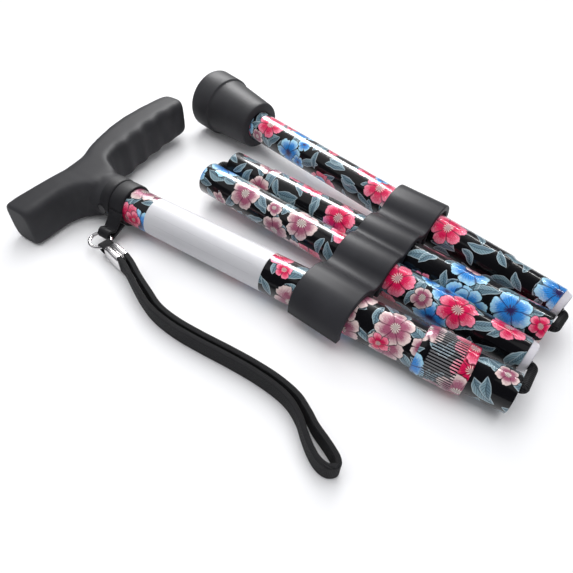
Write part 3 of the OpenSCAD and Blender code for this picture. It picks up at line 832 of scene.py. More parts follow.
class Finishes:
    """All materials, made once and looked up by slot."""

    def __init__(self, layout: Layout) -> None:
        """Builds the materials.

        Args:
            layout: The cane's sizes, for the way round the prints.
        """
        groups = PrintGroups()
        upper, lower, ring = (math.tau * r for r in (layout.upper_r, layout.lower_r, layout.ring_r))
        ribs = RingSizes()
        by_slot = {
            Slot.GRIP: Finish("Grip plastic", (0.034, 0.034, 0.037), 0.55, grain=1900.0, depth=0.00012,
                              gloss=0.12),
            Slot.CLIP: Finish("Clip plastic", (0.026, 0.026, 0.030), 0.48, grain=900.0, depth=0.00006,
                              gloss=0.15),
            Slot.RING: FloralPrint("Ring print", ring, seed=31.0, coat_rough=0.12,
                                   rib_pitch=ring / ribs.count, rib_band=ribs.band(layout)),
            Slot.PRINT: FloralPrint("Extension print", lower, seed=3.0),
            Slot.LABEL: LabelFilm(),
            Slot.BAND: Finish("Collar rubber", (0.011, 0.011, 0.013), 0.62, grain=700.0, gloss=0.3),
            Slot.TAPE: Weave("Strap tape", (0.006, 0.006, 0.007), along=1.1, across=0.9),
            Slot.CHROME: Finish("Chrome", (0.66, 0.65, 0.65), 0.27, metal=1.0, grain=300.0, depth=0.00001,
                                spread=0.05),
            Slot.STEEL: Finish("Plated steel", (0.55, 0.55, 0.57), 0.28, metal=1.0, grain=800.0,
                               depth=0.00002),
            Slot.NYLON: Finish("Nylon", (0.74, 0.74, 0.72), 0.45, grain=600.0, depth=0.00004, soft=0.2),
            Slot.PLUG: Finish("Plug", (0.60, 0.58, 0.64), 0.32, grain=500.0, depth=0.00004, soft=0.45,
                              coat=0.3),
            Slot.CORD: Weave("Cord cover", (0.005, 0.005, 0.006), along=2.0, across=1.8),
            Slot.RUBBER: Finish("Tip rubber", (0.034, 0.034, 0.037), 0.5, grain=1100.0, depth=0.00012,
                                gloss=0.15),
        }
        self.made = {slot: finish.make(groups) for slot, finish in by_slot.items()}
        self.upper = FloralPrint("Upper tube print", upper, seed=0.0).make(groups)
        seeds = (13.0, 22.0, 31.0)
        self.sections = [FloralPrint(f"Section print {n}", lower, seed).make(groups)
                         for n, seed in enumerate(seeds)]
        # Painted shade: the handle screw is near-black steel so that it reads as the shade of its recess
        recess_shade = Finish("Recess shade steel", (0.020, 0.020, 0.022), 0.42, grain=800.0, depth=0.00002)
        self.recess_shade = recess_shade.make(groups)
        bare = Finish("Bare aluminium", (0.42, 0.42, 0.44), 0.35, metal=1.0, grain=900.0, depth=0.00003)
        self.bare = bare.make(groups)

    def __getitem__(self, slot: Slot) -> Material:
        """Looks up a slot's material."""
        return self.made[slot]


class Shapes:
    """Makes meshes in a piece's own millimetres and puts them in the row frame."""

    @staticmethod
    def clean(data: Mesh, dist: float = 1e-6) -> None:
        """Merges doubled points and turns the faces outwards.

        Args:
            data: The mesh.
            dist: Distance in metres at which points are doubled.
        """
        bm = bmesh.new()
        bm.from_mesh(data)
        bmesh.ops.remove_doubles(bm, verts=bm.verts, dist=dist)
        bmesh.ops.recalc_face_normals(bm, faces=bm.faces)
        bm.to_mesh(data)
        bm.free()

    @staticmethod
    def mesh(name: str, points: Sequence[Sequence[float]], faces: Sequence[Sequence[int]], place: Matrix,
             sharp: float = 35.0) -> Object:
        """Mesh object with smooth shading and outward faces.

        Args:
            name: The object's name.
            points: Points in the piece's millimetres.
            faces: Faces by point index.
            place: Matrix to the row frame.
            sharp: Angle in degrees above which an edge stays sharp.

        Returns:
            The object, untransformed at the origin.
        """
        data = bpy.data.meshes.new(name)
        data.from_pydata([place @ Vector(p) for p in points], [], faces)
        Shapes.clean(data)
        obj = add_object(name, data)
        Shapes.smooth(obj, sharp)
        return obj

    @staticmethod
    def smooth(obj: Object, sharp: float = 35.0) -> None:
        """Smooth shading, with the edges sharp that turn by more than an angle in degrees."""
        obj.data.polygons.foreach_set("use_smooth", [True] * len(obj.data.polygons))
        obj.data.set_sharp_from_angle(angle=math.radians(sharp))

    @staticmethod
    def grid_faces(rows: int, sides: int, closed: bool, wrap: bool = True) -> list[list[int]]:
        """Faces between equal rings of points.

        Args:
            rows: Number of rings.
            sides: Points in a ring.
            closed: True if the last ring joins the first.
            wrap: True if each ring is closed.

        Returns:
            The faces.
        """
        faces = []
        for r in range(rows if closed else rows - 1):
            for i in range(sides if wrap else sides - 1):
                a, b = r * sides, ((r + 1) % rows) * sides
                j = (i + 1) % sides
                faces.append([a + i, a + j, b + j, b + i])
        return faces

    @staticmethod
    def capped_faces(rows: int, sides: int, base: int = 0) -> list[list[int]]:
        """Faces of a run of closed rings whose two ends are closed.

        Args:
            rows: Number of rings.
            sides: Points in a ring.
            base: Number of the first point.

        Returns:
            The faces.
        """
        faces = Shapes.grid_faces(rows, sides, closed=False)
        faces += [list(range(sides)), list(range((rows - 1) * sides, rows * sides))]
        return [[base + i for i in face] for face in faces]

    @staticmethod
    def edge(x: float, r: float, *steps: tuple[float, float]) -> Line:
        """Points of a profile, as steps along and outwards from a corner of it."""
        return [(x + along, r + out) for along, out in steps]

    @staticmethod
    def lathe(name: str, profile: Line, place: Matrix, sides: int = 96,
              sharp: float = 35.0) -> Object:
        """Closed profile of place along X and radius, turned about X.

        Args:
            name: The object's name.
            profile: Pairs of place and radius.
            place: Matrix to the row frame.
            sides: Points round.
            sharp: Angle in degrees above which an edge stays sharp.

        Returns:
            The object.
        """
        points = [(x, r * math.sin(math.tau * k / sides), r * math.cos(math.tau * k / sides))
                  for x, r in profile for k in range(sides)]
        return Shapes.mesh(name, points, Shapes.grid_faces(len(profile), sides, closed=True), place, sharp)

    @staticmethod
    def rod(name: str, radius: float, length: float, place: Matrix, sides: int) -> Object:
        """Plain round rod along X from its frame's origin."""
        return Shapes.lathe(name, [(0, AXIS), (0, radius), (length, radius), (length, AXIS)], place, sides)

    @staticmethod
    def sweep(name: str, path: Sequence[Vector], section: Callable[[int], Line], place: Matrix,
              up: Vector = Vector((0, 0, 1))) -> Object:
        """Section swept along a path, closed at both ends, with a UV of length and way round in millimetres.

        Args:
            name: The object's name.
            path: Points of the middle line.
            section: Gives the outline (sideways, up) at a point of the path.
            place: Matrix to the row frame.
            up: Direction that the outline's second part follows.

        Returns:
            The object.
        """
        points = []
        for k, p in enumerate(path):
            run = (path[min(k + 1, len(path) - 1)] - path[max(k - 1, 0)]).normalized()
            side = run.cross(up).normalized()
            top = side.cross(run)
            points += [p + side * a + top * b for a, b in section(k)]
        obj = Shapes.mesh(name, points, Shapes.capped_faces(len(path), len(section(0))), place)
        lengths = [0.0]
        for a, b in zip(path, path[1:]):
            lengths.append(lengths[-1] + (b - a).length)
        inverse = place.inverted()
        spots = []
        for v in obj.data.vertices:
            p = inverse @ v.co
            k = min(range(len(path)), key=lambda n: (path[n] - p).length_squared)
            away = p - path[k]
            # The slant keeps the weave running on both the upright and the level faces
            spots.append((lengths[k], away.z + 0.6 * (away.x + away.y)))
        uv = obj.data.uv_layers.new(name="UVMap")
        for loop in obj.data.loops:
            uv.data[loop.index].uv = spots[loop.vertex_index]
        return obj

    @staticmethod
    def wrap_uv(obj: Object, place: Matrix, radius: float) -> None:
        """UV of a piece on a tube: place along it and way round it, in millimetres.

        Args:
            obj: The object.
            place: The tube's frame.
            radius: Radius at which the way round is counted.
        """
        inverse = place.inverted()
        local = [inverse @ v.co for v in obj.data.vertices]
        uv = obj.data.uv_layers.get("UVMap") or obj.data.uv_layers.new(name="UVMap")
        for poly in obj.data.polygons:
            first = None
            for li in poly.loop_indices:
                p = local[obj.data.loops[li].vertex_index]
                a = math.atan2(p.y, -p.z)
                if first is None:
                    first = a
                a += math.tau * round((first - a) / math.tau)
                uv.data[li].uv = (p.x, a * radius)

    @staticmethod
    def combine(obj: Object, tool: Object, operation: str) -> None:
        """Adds the exact Boolean of another object."""
        mod = obj.modifiers.new(tool.name, "BOOLEAN")
        mod.operation, mod.object, mod.solver = operation, tool, "EXACT"

    @staticmethod
    def apply(obj: Object, *tools: Object) -> None:
        """Turns an object's modifiers into plain mesh and removes the objects that shaped it.

        Args:
            obj: The object.
            *tools: The objects to remove.
        """
        graph = bpy.context.evaluated_depsgraph_get()
        data = bpy.data.meshes.new_from_object(obj.evaluated_get(graph))
        obj.modifiers.clear()
        obj.data = data
        for tool in tools:
            bpy.data.objects.remove(tool)

    @staticmethod
    def smooth_path(points: Sequence[Vector], steps: int) -> list[Vector]:
        """Smooth curve through points.

        Args:
            points: The points.
            steps: Steps between two points.

        Returns:
            The finer points.
        """
        out = []
        for i in range(len(points) - 1):
            a, b = points[max(i - 1, 0)], points[i]
            c, d = points[i + 1], points[min(i + 2, len(points) - 1)]
            for k in range(steps):
                t = k / steps
                out.append((2 * b + (c - a) * t + (2 * a - 5 * b + 4 * c - d) * t * t
                            + (3 * b - a - 3 * c + d) * t * t * t) / 2)
        return out + [points[-1]]


class Assembly:
    """Shared parts of every sub-assembly."""

    def __init__(self, layout: Layout, finishes: Finishes) -> None:
        """Holds the cane's sizes and materials."""
        self.layout = layout
        self.finishes = finishes

    def fit(self, obj: Object, body: Body, slot: Slot, *nodes: str) -> Object:
        """Gives a piece its finish, where it has none yet, and ties it to its body.

        Args:
            obj: The piece.
            body: The body it rides on.
            slot: Its material slot.
            *nodes: CAD nodes that it stands for.

        Returns:
            The piece.
        """
        if not obj.data.materials:
            obj.data.materials.append(self.finishes[slot])
        if nodes:
            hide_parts(*nodes)
        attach(obj, body.value)
        LOG.info("%s: %d faces on %s", obj.name, len(obj.data.polygons), body.value)
        return obj


@dataclass
class GripSizes:
    """Sizes of the grip in millimetres, and its shape as shares of them."""

    length: float = 142.0
    thick: float = 27.0
    neck_r: float = 13.0
    neck_in: float = 29.0
    neck_bulge: float = 12.0
    neck_band: float = 6.5
    square: float = 4.5
    sides: int = 72
    rows: int = 150
    voxel: float = 0.75
    soften: tuple[float, int] = (0.5, 5)
    recess_r: float = 3.2
    recess_len: float = 40.0
    recess_floor: float = 0.8
    screw_back: float = 5.5
    dome: float = 2.6
    dome_rows: int = 10
    ease: float = 0.35
    wave: float = 0.010
    wave_pitch: float = 0.1
    wave_at: float = 0.576
    wave_span: tuple[float, float] = (0.50, 0.95)
    wave_fade: float = 0.06
    set_back: float = 0.045
    set_to: float = 0.29
    # Share of the length, then shares of the depth at the palm side and the finger side, and of the thickness
    shares: tuple = (
        (0.000, 0.763, 0.448, 0.84), (0.005, 0.786, 0.423, 0.90), (0.016, 0.797, 0.409, 0.93),
        (0.055, 0.803, 0.407, 0.95), (0.110, 0.797, 0.419, 0.96), (0.165, 0.790, 0.421, 0.97),
        (0.205, 0.786, 0.396, 0.98), (0.233, 0.785, 0.353, 0.98), (0.258, 0.785, 0.282, 0.99),
        (0.280, 0.786, 0.201, 0.99), (0.306, 0.788, 0.158, 1.00), (0.342, 0.793, 0.158, 1.00),
        (0.376, 0.801, 0.158, 1.00), (0.400, 0.812, 0.196, 1.00), (0.416, 0.824, 0.291, 1.00),
        (0.432, 0.838, 0.391, 1.00), (0.452, 0.858, 0.461, 1.00), (0.482, 0.885, 0.499, 1.00),
        (0.526, 0.919, 0.523, 1.00), (0.576, 0.952, 0.518, 1.00), (0.626, 0.977, 0.542, 1.00),
        (0.676, 0.992, 0.539, 1.00), (0.716, 0.996, 0.561, 1.00), (0.770, 0.989, 0.554, 1.00),
        (0.820, 0.976, 0.569, 1.00), (0.866, 0.962, 0.558, 0.99), (0.906, 0.948, 0.554, 0.98),
        (0.938, 0.936, 0.548, 0.97), (0.960, 0.925, 0.550, 0.95), (0.978, 0.907, 0.561, 0.92),
        (0.991, 0.881, 0.588, 0.86), (1.000, 0.833, 0.638, 0.76))


class Grip(Assembly):
    """The moulded handle with its neck and screw recess."""

    sizes = GripSizes()

    def share(self, at: float) -> list[float]:
        """Shape of the grip at a share of its length.

        Args:
            at: Share of the length.

        Returns:
            Shares of the palm side, finger side and thickness.
        """
        rows, ease = self.sizes.shares, self.sizes.ease
        k = max(i for i in range(len(rows) - 1) if rows[i][0] <= at)
        t = (at - rows[k][0]) / (rows[k + 1][0] - rows[k][0])
        t = t * t * (3 - 2 * t) * ease + t * (1 - ease)
        return [a + (b - a) * t for a, b in zip(rows[k][1:], rows[k + 1][1:])]

    def ring(self, at: float) -> tuple[float, float, float]:
        """Shape at a share of the length, with the finger waves and the set of the short arm.

        Args:
            at: Share of the length.

        Returns:
            Shares of the palm side, finger side and thickness.
        """
        s = self.sizes
        palm, under, thick = self.share(at)
        back = s.set_back * max(0.0, 1.0 - at / s.set_to)
        first, last = s.wave_span
        fade = max(0.0, min(1.0, (at - first) / s.wave_fade, (last - at) / s.wave_fade))
        swell = s.wave * fade * math.cos(math.tau * (at - s.wave_at) / s.wave_pitch)
        return palm + back, under + back - swell, thick

    def bulge(self, value: float) -> float:
        """Cosine or sine of a circle, pushed outwards to a rounded square."""
        return math.copysign(abs(value) ** (2 / self.sizes.square), value)

    def bar(self) -> Object:
        """The grip without its neck, with its far end domed.

        Returns:
            The object.
        """
        s, lay = self.sizes, self.layout
        rows = [(r / (s.rows - 1), 0.0, 1.0) for r in range(s.rows)]
        for k in range(1, s.dome_rows):
            a = math.pi * k / (2 * s.dome_rows)
            rows.append((1.0, s.dome * math.sin(a), math.cos(a)))
        points = []
        for at, out, grow in rows:
            palm, under, thick = self.ring(at)
            mid, half = lay.neck_x - lay.grip_depth * (palm + under) / 2, lay.grip_depth * (palm - under) / 2
            for k in range(s.sides):
                a = math.tau * k / s.sides
                points.append((mid + grow * half * self.bulge(math.cos(a)),
                               s.length * at - lay.grip_short + out,
                               grow * s.thick * thick / 2 * self.bulge(math.sin(a))))
        return Shapes.mesh("handle_grip", points, Shapes.capped_faces(len(rows), s.sides), lay.bench())

    def build(self) -> None:
        """Builds the handle."""
        s, x, bench = self.sizes, self.layout.neck_x, self.layout.bench()
        obj = self.bar()
        line = [(x - s.neck_in, AXIS), (x - s.neck_in, s.neck_r - 1.0), (x - s.neck_bulge, s.neck_r - 0.1),
                (x - 1.0, s.neck_r), (x, s.neck_r - 0.8), (x, AXIS)]
        neck = Shapes.lathe("neck", line, bench)
        Shapes.combine(obj, neck, "UNION")
        mod = obj.modifiers.new("skin", "REMESH")
        mod.mode, mod.voxel_size = "VOXEL", s.voxel * MM
        mod = obj.modifiers.new("soften", "SMOOTH")
        mod.factor, mod.iterations = s.soften
        aim = Matrix.Translation((x - s.screw_back, -self.layout.upper_r - s.recess_floor, 0))
        aim = bench @ aim @ Matrix.Rotation(-math.pi / 2, 4, "Z")
        recess = Shapes.rod("recess", s.recess_r, s.recess_len, aim, sides=48)
        Shapes.combine(obj, recess, "DIFFERENCE")
        Shapes.apply(obj, neck, recess)
        Shapes.smooth(obj, sharp=50.0)
        self.fit(obj, Body.ROOT, Slot.GRIP, "handle")
        self.blacken(obj)

    def blacken(self, obj: Object) -> None:
        """Makes the last stretch of the neck darker, with the collar's rubber material.

        Args:
            obj: The handle.
        """
        bench, edge = self.layout.bench(), self.layout.neck_x - self.sizes.neck_band
        bm = bmesh.new()
        bm.from_mesh(obj.data)
        bmesh.ops.bisect_plane(bm, geom=bm.verts[:] + bm.edges[:] + bm.faces[:], dist=1e-7,
                               plane_co=bench @ Vector((edge, 0, 0)),
                               plane_no=bench.to_3x3() @ Vector((1, 0, 0)))
        inverse = bench.inverted()
        for face in bm.faces:
            face.material_index = int((inverse @ face.calc_center_median()).x > edge)
        bm.to_mesh(obj.data)
        bm.free()
        obj.data.materials.append(self.finishes[Slot.BAND])


@dataclass
class TubeSizes:
    """Sizes of the tubes, plugs, height holes and label in millimetres."""

    rim: float = 0.3
    rim_bow: float = 0.3
    upper_wall: float = 0.95
    extension_len: float = 180.0
    skin: float = 0.3
    male_skin: float = 0.2
    bore_steps: tuple[float, float] = (3.6, 1.0)
    long_steps: int = 12
    sides: int = 128
    plug_head: float = 3.5
    plug_flush: float = 0.4
    plug_bore: float = 6.68
    plug_len: float = 14.0
    plug_gap: float = 0.02
    hole_r: float = 3.2
    hole_end: float = 24.0
    hole_pitch: float = 16.0
    hole_count: int = 7
    label_span: tuple[float, float] = (-205.7, -127.7)
    label_turn: float = math.radians(215)
    label_mid: float = math.radians(225)
    label_thick: float = 0.14
    label_edge: float = 0.02
    label_bevel: float = 0.1
    label_sides: int = 80


class Tubes(Assembly):
    """The upper tube, its label, the extension tube, the folding sections and their plugs."""

    sizes = TubeSizes()

    def tube(self, name: str, span: tuple[float, float], outer: float, inner: float, place: Matrix,
             male: bool = False) -> Object:
        """Open tube, with its male end at the start.

        Args:
            name: The object's name.
            span: First and second end along X.
            outer: Outer radius.
            inner: Bore's radius.
            place: The tube's frame.
            male: True if the first end is narrowed.

        Returns:
            The object.
        """
        lay, s, edge = self.layout, self.sizes, Shapes.edge
        start, stop = span
        rim, bow = s.rim, s.rim * s.rim_bow
        shoulder = start + lay.male_len
        if male:
            line = [(start, lay.male_bore)] + edge(start, lay.male_r, (0, -0.4), (0.15, -0.12), (0.5, 0))
            line += edge(shoulder, lay.male_r, (-0.6, 0), (0.2, 0.12))
            line += edge(shoulder, outer, (1.8, -0.12), (2.6, 0))
        else:
            line = [(start, inner)] + edge(start, outer, (0, -rim), (bow, -bow), (rim, 0))
        first, steps = line[-1][0], s.long_steps
        line += [(first + (stop - rim - first) * k / steps, outer) for k in range(1, steps + 1)]
        line += edge(stop, outer, (-bow, -bow), (0, -rim)) + [(stop, inner)]
        if male:
            line += [(shoulder + s.bore_steps[0], inner), (shoulder + s.bore_steps[1], lay.male_bore)]
        obj = Shapes.lathe(name, line, place, s.sides)
        Shapes.wrap_uv(obj, place, outer)
        return obj

    def drill(self, obj: Object, place: Matrix) -> None:
        """Height holes in the underside of the upper tube.

        Args:
            obj: The tube.
            place: Its frame.
        """
        s, lay = self.sizes, self.layout
        drills = []
        for n in range(s.hole_count):
            down = Matrix.Translation((lay.upper_low - s.hole_end - n * s.hole_pitch, 0, 0))
            down = down @ Matrix.Rotation(math.pi / 2, 4, "Y")
            drills.append(Shapes.rod("drill", s.hole_r, 2 * lay.upper_r, place @ down, sides=40))
            Shapes.combine(obj, drills[-1], "DIFFERENCE")
        Shapes.apply(obj, *drills)
        Shapes.smooth(obj)
        Shapes.wrap_uv(obj, place, lay.upper_r)

    def dress(self, obj: Object, place: Matrix, inner: float, film: Material) -> None:
        """Print on the outside, bare metal on the inside and the end rims.

        Args:
            obj: The tube.
            place: Its frame.
            inner: Radius below which a face is bare.
            film: The print.
        """
        obj.data.materials.append(film)
        obj.data.materials.append(self.finishes.bare)
        inverse = place.inverted()
        for poly in obj.data.polygons:
            p = inverse @ poly.center
            poly.material_index = int(math.hypot(p.y, p.z) < inner)

    def build(self) -> None:
        """Builds the tubes, label and plugs."""
        lay, s = self.layout, self.sizes
        bench = lay.bench()
        obj = self.tube("upper_tube_print", (lay.upper_high, lay.upper_low), lay.upper_r,
                        lay.upper_r - s.upper_wall, bench)
        self.drill(obj, bench)
        self.dress(obj, bench, lay.upper_r - s.skin, self.finishes.upper)
        self.fit(obj, Body.ROOT, Slot.PRINT, "upper_tube")
        bore = lay.lower_r - lay.wall
        obj = self.tube("extension_tube_print", (-s.extension_len, 0.0), lay.lower_r, bore, bench)
        self.dress(obj, bench, lay.lower_r - s.skin, self.finishes[Slot.PRINT])
        self.fit(obj, Body.EXTENSION, Slot.PRINT, "extension_tube")
        rows = (("upper_middle_tube", "upper_joint_plug", Body.UPPER, lay.section_len, s.plug_head),
                ("lower_middle_tube", "middle_joint_plug", Body.LOWER, lay.section_len, s.plug_flush),
                ("tip_tube", "lower_joint_plug", Body.TIP, lay.tip_section_len, s.plug_head))
        for n, (node, plug, body, length, head) in enumerate(rows):
            place = lay.section(n)
            span = (lay.male_start, lay.male_start + length)
            obj = self.tube(f"{node}_print", span, lay.lower_r, bore, place, male=True)
            self.dress(obj, place, lay.male_bore + s.male_skin, self.finishes.sections[n])
            self.fit(obj, body, Slot.PRINT, node)
            self.plug(plug, place, body, head)
        self.label(bench)

    def plug(self, node: str, place: Matrix, body: Body, head: float) -> None:
        """Pale plug in a male end.

        Args:
            node: Its CAD node.
            place: The section's frame.
            body: The section's body.
            head: How far it stands out of the male end.
        """
        lay, s, edge = self.layout, self.sizes, Shapes.edge
        start, bore, seat = lay.male_start, s.plug_bore, lay.male_bore - s.plug_gap
        nose = start - head
        line = [(nose, bore + 0.5)] + edge(nose, lay.male_r, (0, -1.9), (0.2, -1.5), (0.2 * head, -1.2))
        line += edge(start, lay.male_r, (-0.06 * head, -0.45), (0, -0.6))
        line += [(start, seat), (start + s.plug_len, seat), (start + s.plug_len, bore)]
        line += edge(nose, bore, (1.2, 0), (0.3, 0.2))
        obj = Shapes.lathe(f"{node}_nose", line, place, sides=72, sharp=50.0)
        self.fit(obj, body, Slot.PLUG, node)

    def label(self, place: Matrix) -> None:
        """Bare label on the upper tube.

        Args:
            place: The bench frame.
        """
        s, r, sides = self.sizes, self.layout.upper_r, self.sizes.label_sides
        first, last = s.label_span
        rows = ((first, s.label_edge), (first + s.label_bevel, s.label_thick),
                (last - s.label_bevel, s.label_thick), (last, s.label_edge))
        points = []
        for x, rise in rows:
            for k in range(sides):
                a = s.label_mid + s.label_turn * (k / (sides - 1) - 0.5)
                points.append((x, (r + rise) * math.sin(a), -(r + rise) * math.cos(a)))
        faces = Shapes.grid_faces(len(rows), sides, closed=True, wrap=False)
        faces += [[n * sides + end for n in range(len(rows))] for end in (0, sides - 1)]
        obj = Shapes.mesh("label_film", points, faces, place)
        Shapes.wrap_uv(obj, place, r)
        self.fit(obj, Body.ROOT, Slot.LABEL, "label")


@dataclass
class RingSizes:
    """Sizes of the lock ring in millimetres."""

    low: float = -19.5
    rib_high: float = -39.0
    high: float = -43.5
    play: float = 0.05
    lip: float = 2.5
    count: int = 54
    rib_rise: float = 0.42
    rib_wide: float = 0.8
    rib_root: float = 0.35
    rib_end: float = 0.3
    rib_sides: int = 10
    band_inset: float = 0.2

    def band(self, layout: Layout) -> tuple[float, float]:
        """Ends of the band in which the print shows its ribs, with a painted highlight and painted shade in
        the grooves.
        """
        return self.rib_high + self.band_inset, layout.ring_low - self.band_inset


class LockRing(Assembly):
    """The twist ring with its lengthwise ribs."""

    sizes = RingSizes()

    def rib_tree(self) -> NodeTree:
        """Geometry nodes that set ribs round a ring.

        Returns:
            The tree, with its count, radius, length, width, height and material as inputs.
        """
        inputs = {"Geometry": "Geometry", "Int": "Count", "Float": "Radius Length Width Height",
                  "Material": "Material"}
        g, i, o = make_group("Ribs round a ring", inputs, {"Geometry": "Geometry"}, "GeometryNodeTree")
        circle = g.node("GeometryNodeMeshCircle", {"Vertices": i["Count"], "Radius": i["Radius"]})
        rib = g.node("GeometryNodeMeshCylinder", {"Vertices": self.sizes.rib_sides, "Radius": 0.5,
                                                  "Depth": i["Length"]})
        shape = g.node("GeometryNodeTransform", {"Geometry": rib.outputs["Mesh"],
                                                 "Scale": g.join(i["Height"], i["Width"], 1.0)})
        x, y, _ = g.split(g.node("GeometryNodeInputPosition").outputs[0])
        turn = g.node("FunctionNodeEulerToRotation", {0: g.join(0.0, 0.0, g.math("ARCTAN2", y, x))})
        inputs = {"Points": circle.outputs[0], "Instance": shape.outputs[0], "Rotation": turn.outputs[0]}
        copies = g.node("GeometryNodeInstanceOnPoints", inputs)
        real = g.node("GeometryNodeRealizeInstances", {0: copies.outputs[0]})
        paint = g.node("GeometryNodeSetMaterial", {"Geometry": real.outputs[0], "Material": i["Material"]})
        g.put(o["Geometry"], paint.outputs[0])
        return g.tree

    def profile(self) -> Line:
        """Profile of the ring, with a sunk band for the ribs.

        Returns:
            Pairs of place and radius.
        """
        s, lay, edge = self.sizes, self.layout, Shapes.edge
        r, rib_low = lay.ring_r, lay.ring_low
        bore, inner, root = lay.upper_r + s.play, lay.lower_r + s.play, r - s.rib_root
        line = [(s.high, bore)] + edge(s.high, r, (0, -0.75), (0.3, -0.5))
        line += edge(s.rib_high, r, (-0.4, 0.1), (-0.1, 0.02)) + [(s.rib_high, root), (rib_low, root)]
        line += edge(rib_low, r, (0.1, -0.2), (0.5, -0.25))
        line += edge(s.low, r, (-0.6, -0.4), (-0.15, -0.6), (0, -0.9))
        return line + [(s.low, inner), (s.low - s.lip, inner), (s.low - s.lip, bore)]

    def build(self) -> None:
        """Builds the ring and its ribs."""
        s, lay = self.sizes, self.layout
        place, rib_low = lay.bench(), lay.ring_low
        ring = Shapes.lathe("lock_ring_print", self.profile(), place, sides=128)
        Shapes.wrap_uv(ring, place, lay.ring_r)
        self.fit(ring, Body.LOCK, Slot.RING, "lock_ring")
        ribs = add_object("lock_ring_ribs", bpy.data.meshes.new("lock_ring_ribs"))
        mod = ribs.modifiers.new("ribs", "NODES")
        mod.node_group = self.rib_tree()
        items = mod.node_group.interface.items_tree
        ids = {item.name: item.identifier for item in items if item.in_out == "INPUT"}
        values = {"Count": s.count, "Radius": lay.ring_r - s.rib_root, "Width": s.rib_wide,
                  "Length": rib_low - s.rib_high - 2 * s.rib_end, "Height": 2 * s.rib_rise,
                  "Material": self.finishes[Slot.RING]}
        for key, value in values.items():
            mod[ids[key]] = value
        Shapes.apply(ribs)
        middle = Matrix.Translation(((rib_low + s.rib_high) / 2, 0, 0))
        ribs.data.transform(place @ middle @ Matrix.Rotation(math.pi / 2, 4, "Y"))
        Shapes.smooth(ribs, sharp=60.0)
        Shapes.wrap_uv(ribs, place, lay.ring_r)
        self.fit(ribs, Body.LOCK, Slot.RING)


@dataclass
class TipSizes:
    """Sizes of the rubber tip in millimetres, and its tread as shares of its radius."""

    length: float = 51.0
    neck_r: float = 16.0
    neck_round: float = 1.1
    band: float = 17.5
    band_back: float = 1.0
    band_step: float = 1.7
    taper_rows: int = 8
    play: float = 0.02
    tread: tuple = ((0.88, 0.70), (0.50, 0.30))
    tread_deep: float = 1.5


class RubberTip(Assembly):
    """The ferrule with its stepped base and ringed tread."""

    sizes = TipSizes()

    def build(self) -> None:
        """Builds the tip."""
        lay, s, edge = self.layout, self.sizes, Shapes.edge
        end, r, bore = lay.tip_end, lay.tip_r, lay.lower_r + s.play
        neck, band, rows = end - s.length, end - s.band, s.taper_rows
        line = edge(neck, bore, (0.6, 0), (0.1, 0.5), (0, 1.0))
        line += edge(neck, s.neck_r, (0, -s.neck_round), (0.35, -0.35), (s.neck_round, 0))
        long, wide = band - s.band_back - neck - s.neck_round, r - s.band_step - s.neck_r
        taper = [(long * k / rows, wide * k / rows) for k in range(1, rows + 1)]
        line += edge(neck + s.neck_round, s.neck_r, *taper)
        line += edge(band, r, (-0.5, -1.55), (-0.1, -1.1), (0.15, -0.55), (0.7, -0.3))
        line += edge(end, r, (-2.4, -0.02), (-1.3, 0), (-0.5, -0.4), (-0.1, -1.0), (0, -1.6))
        for outer, inner in s.tread:
            line += edge(end, r * outer, (0, 0), (-0.3, -0.15), (-s.tread_deep, -0.3))
            line += edge(end, r * inner, (-s.tread_deep, 0.3), (-0.3, 0.15), (0, 0))
        floor = end - lay.tip_floor + s.tread_deep
        line += [(end, AXIS), (floor, AXIS), (floor, bore)]
        obj = Shapes.lathe("rubber_tip_ferrule", line, lay.section(2), sides=128, sharp=48.0)
        self.fit(obj, Body.TIP, Slot.RUBBER, "rubber_tip")


@dataclass
class ClipSizes:
    """Sizes of the storage clip in millimetres."""

    length: float = 30.0
    wall: float = 3.4
    back: float = 91.0
    drop: float = 3.5
    play: float = 0.3
    web: float = 2.2
    pocket: float = 4.5
    wide: float = 8.0
    tight: float = 5.0
    round: float = 0.7
    merge: float = 0.02


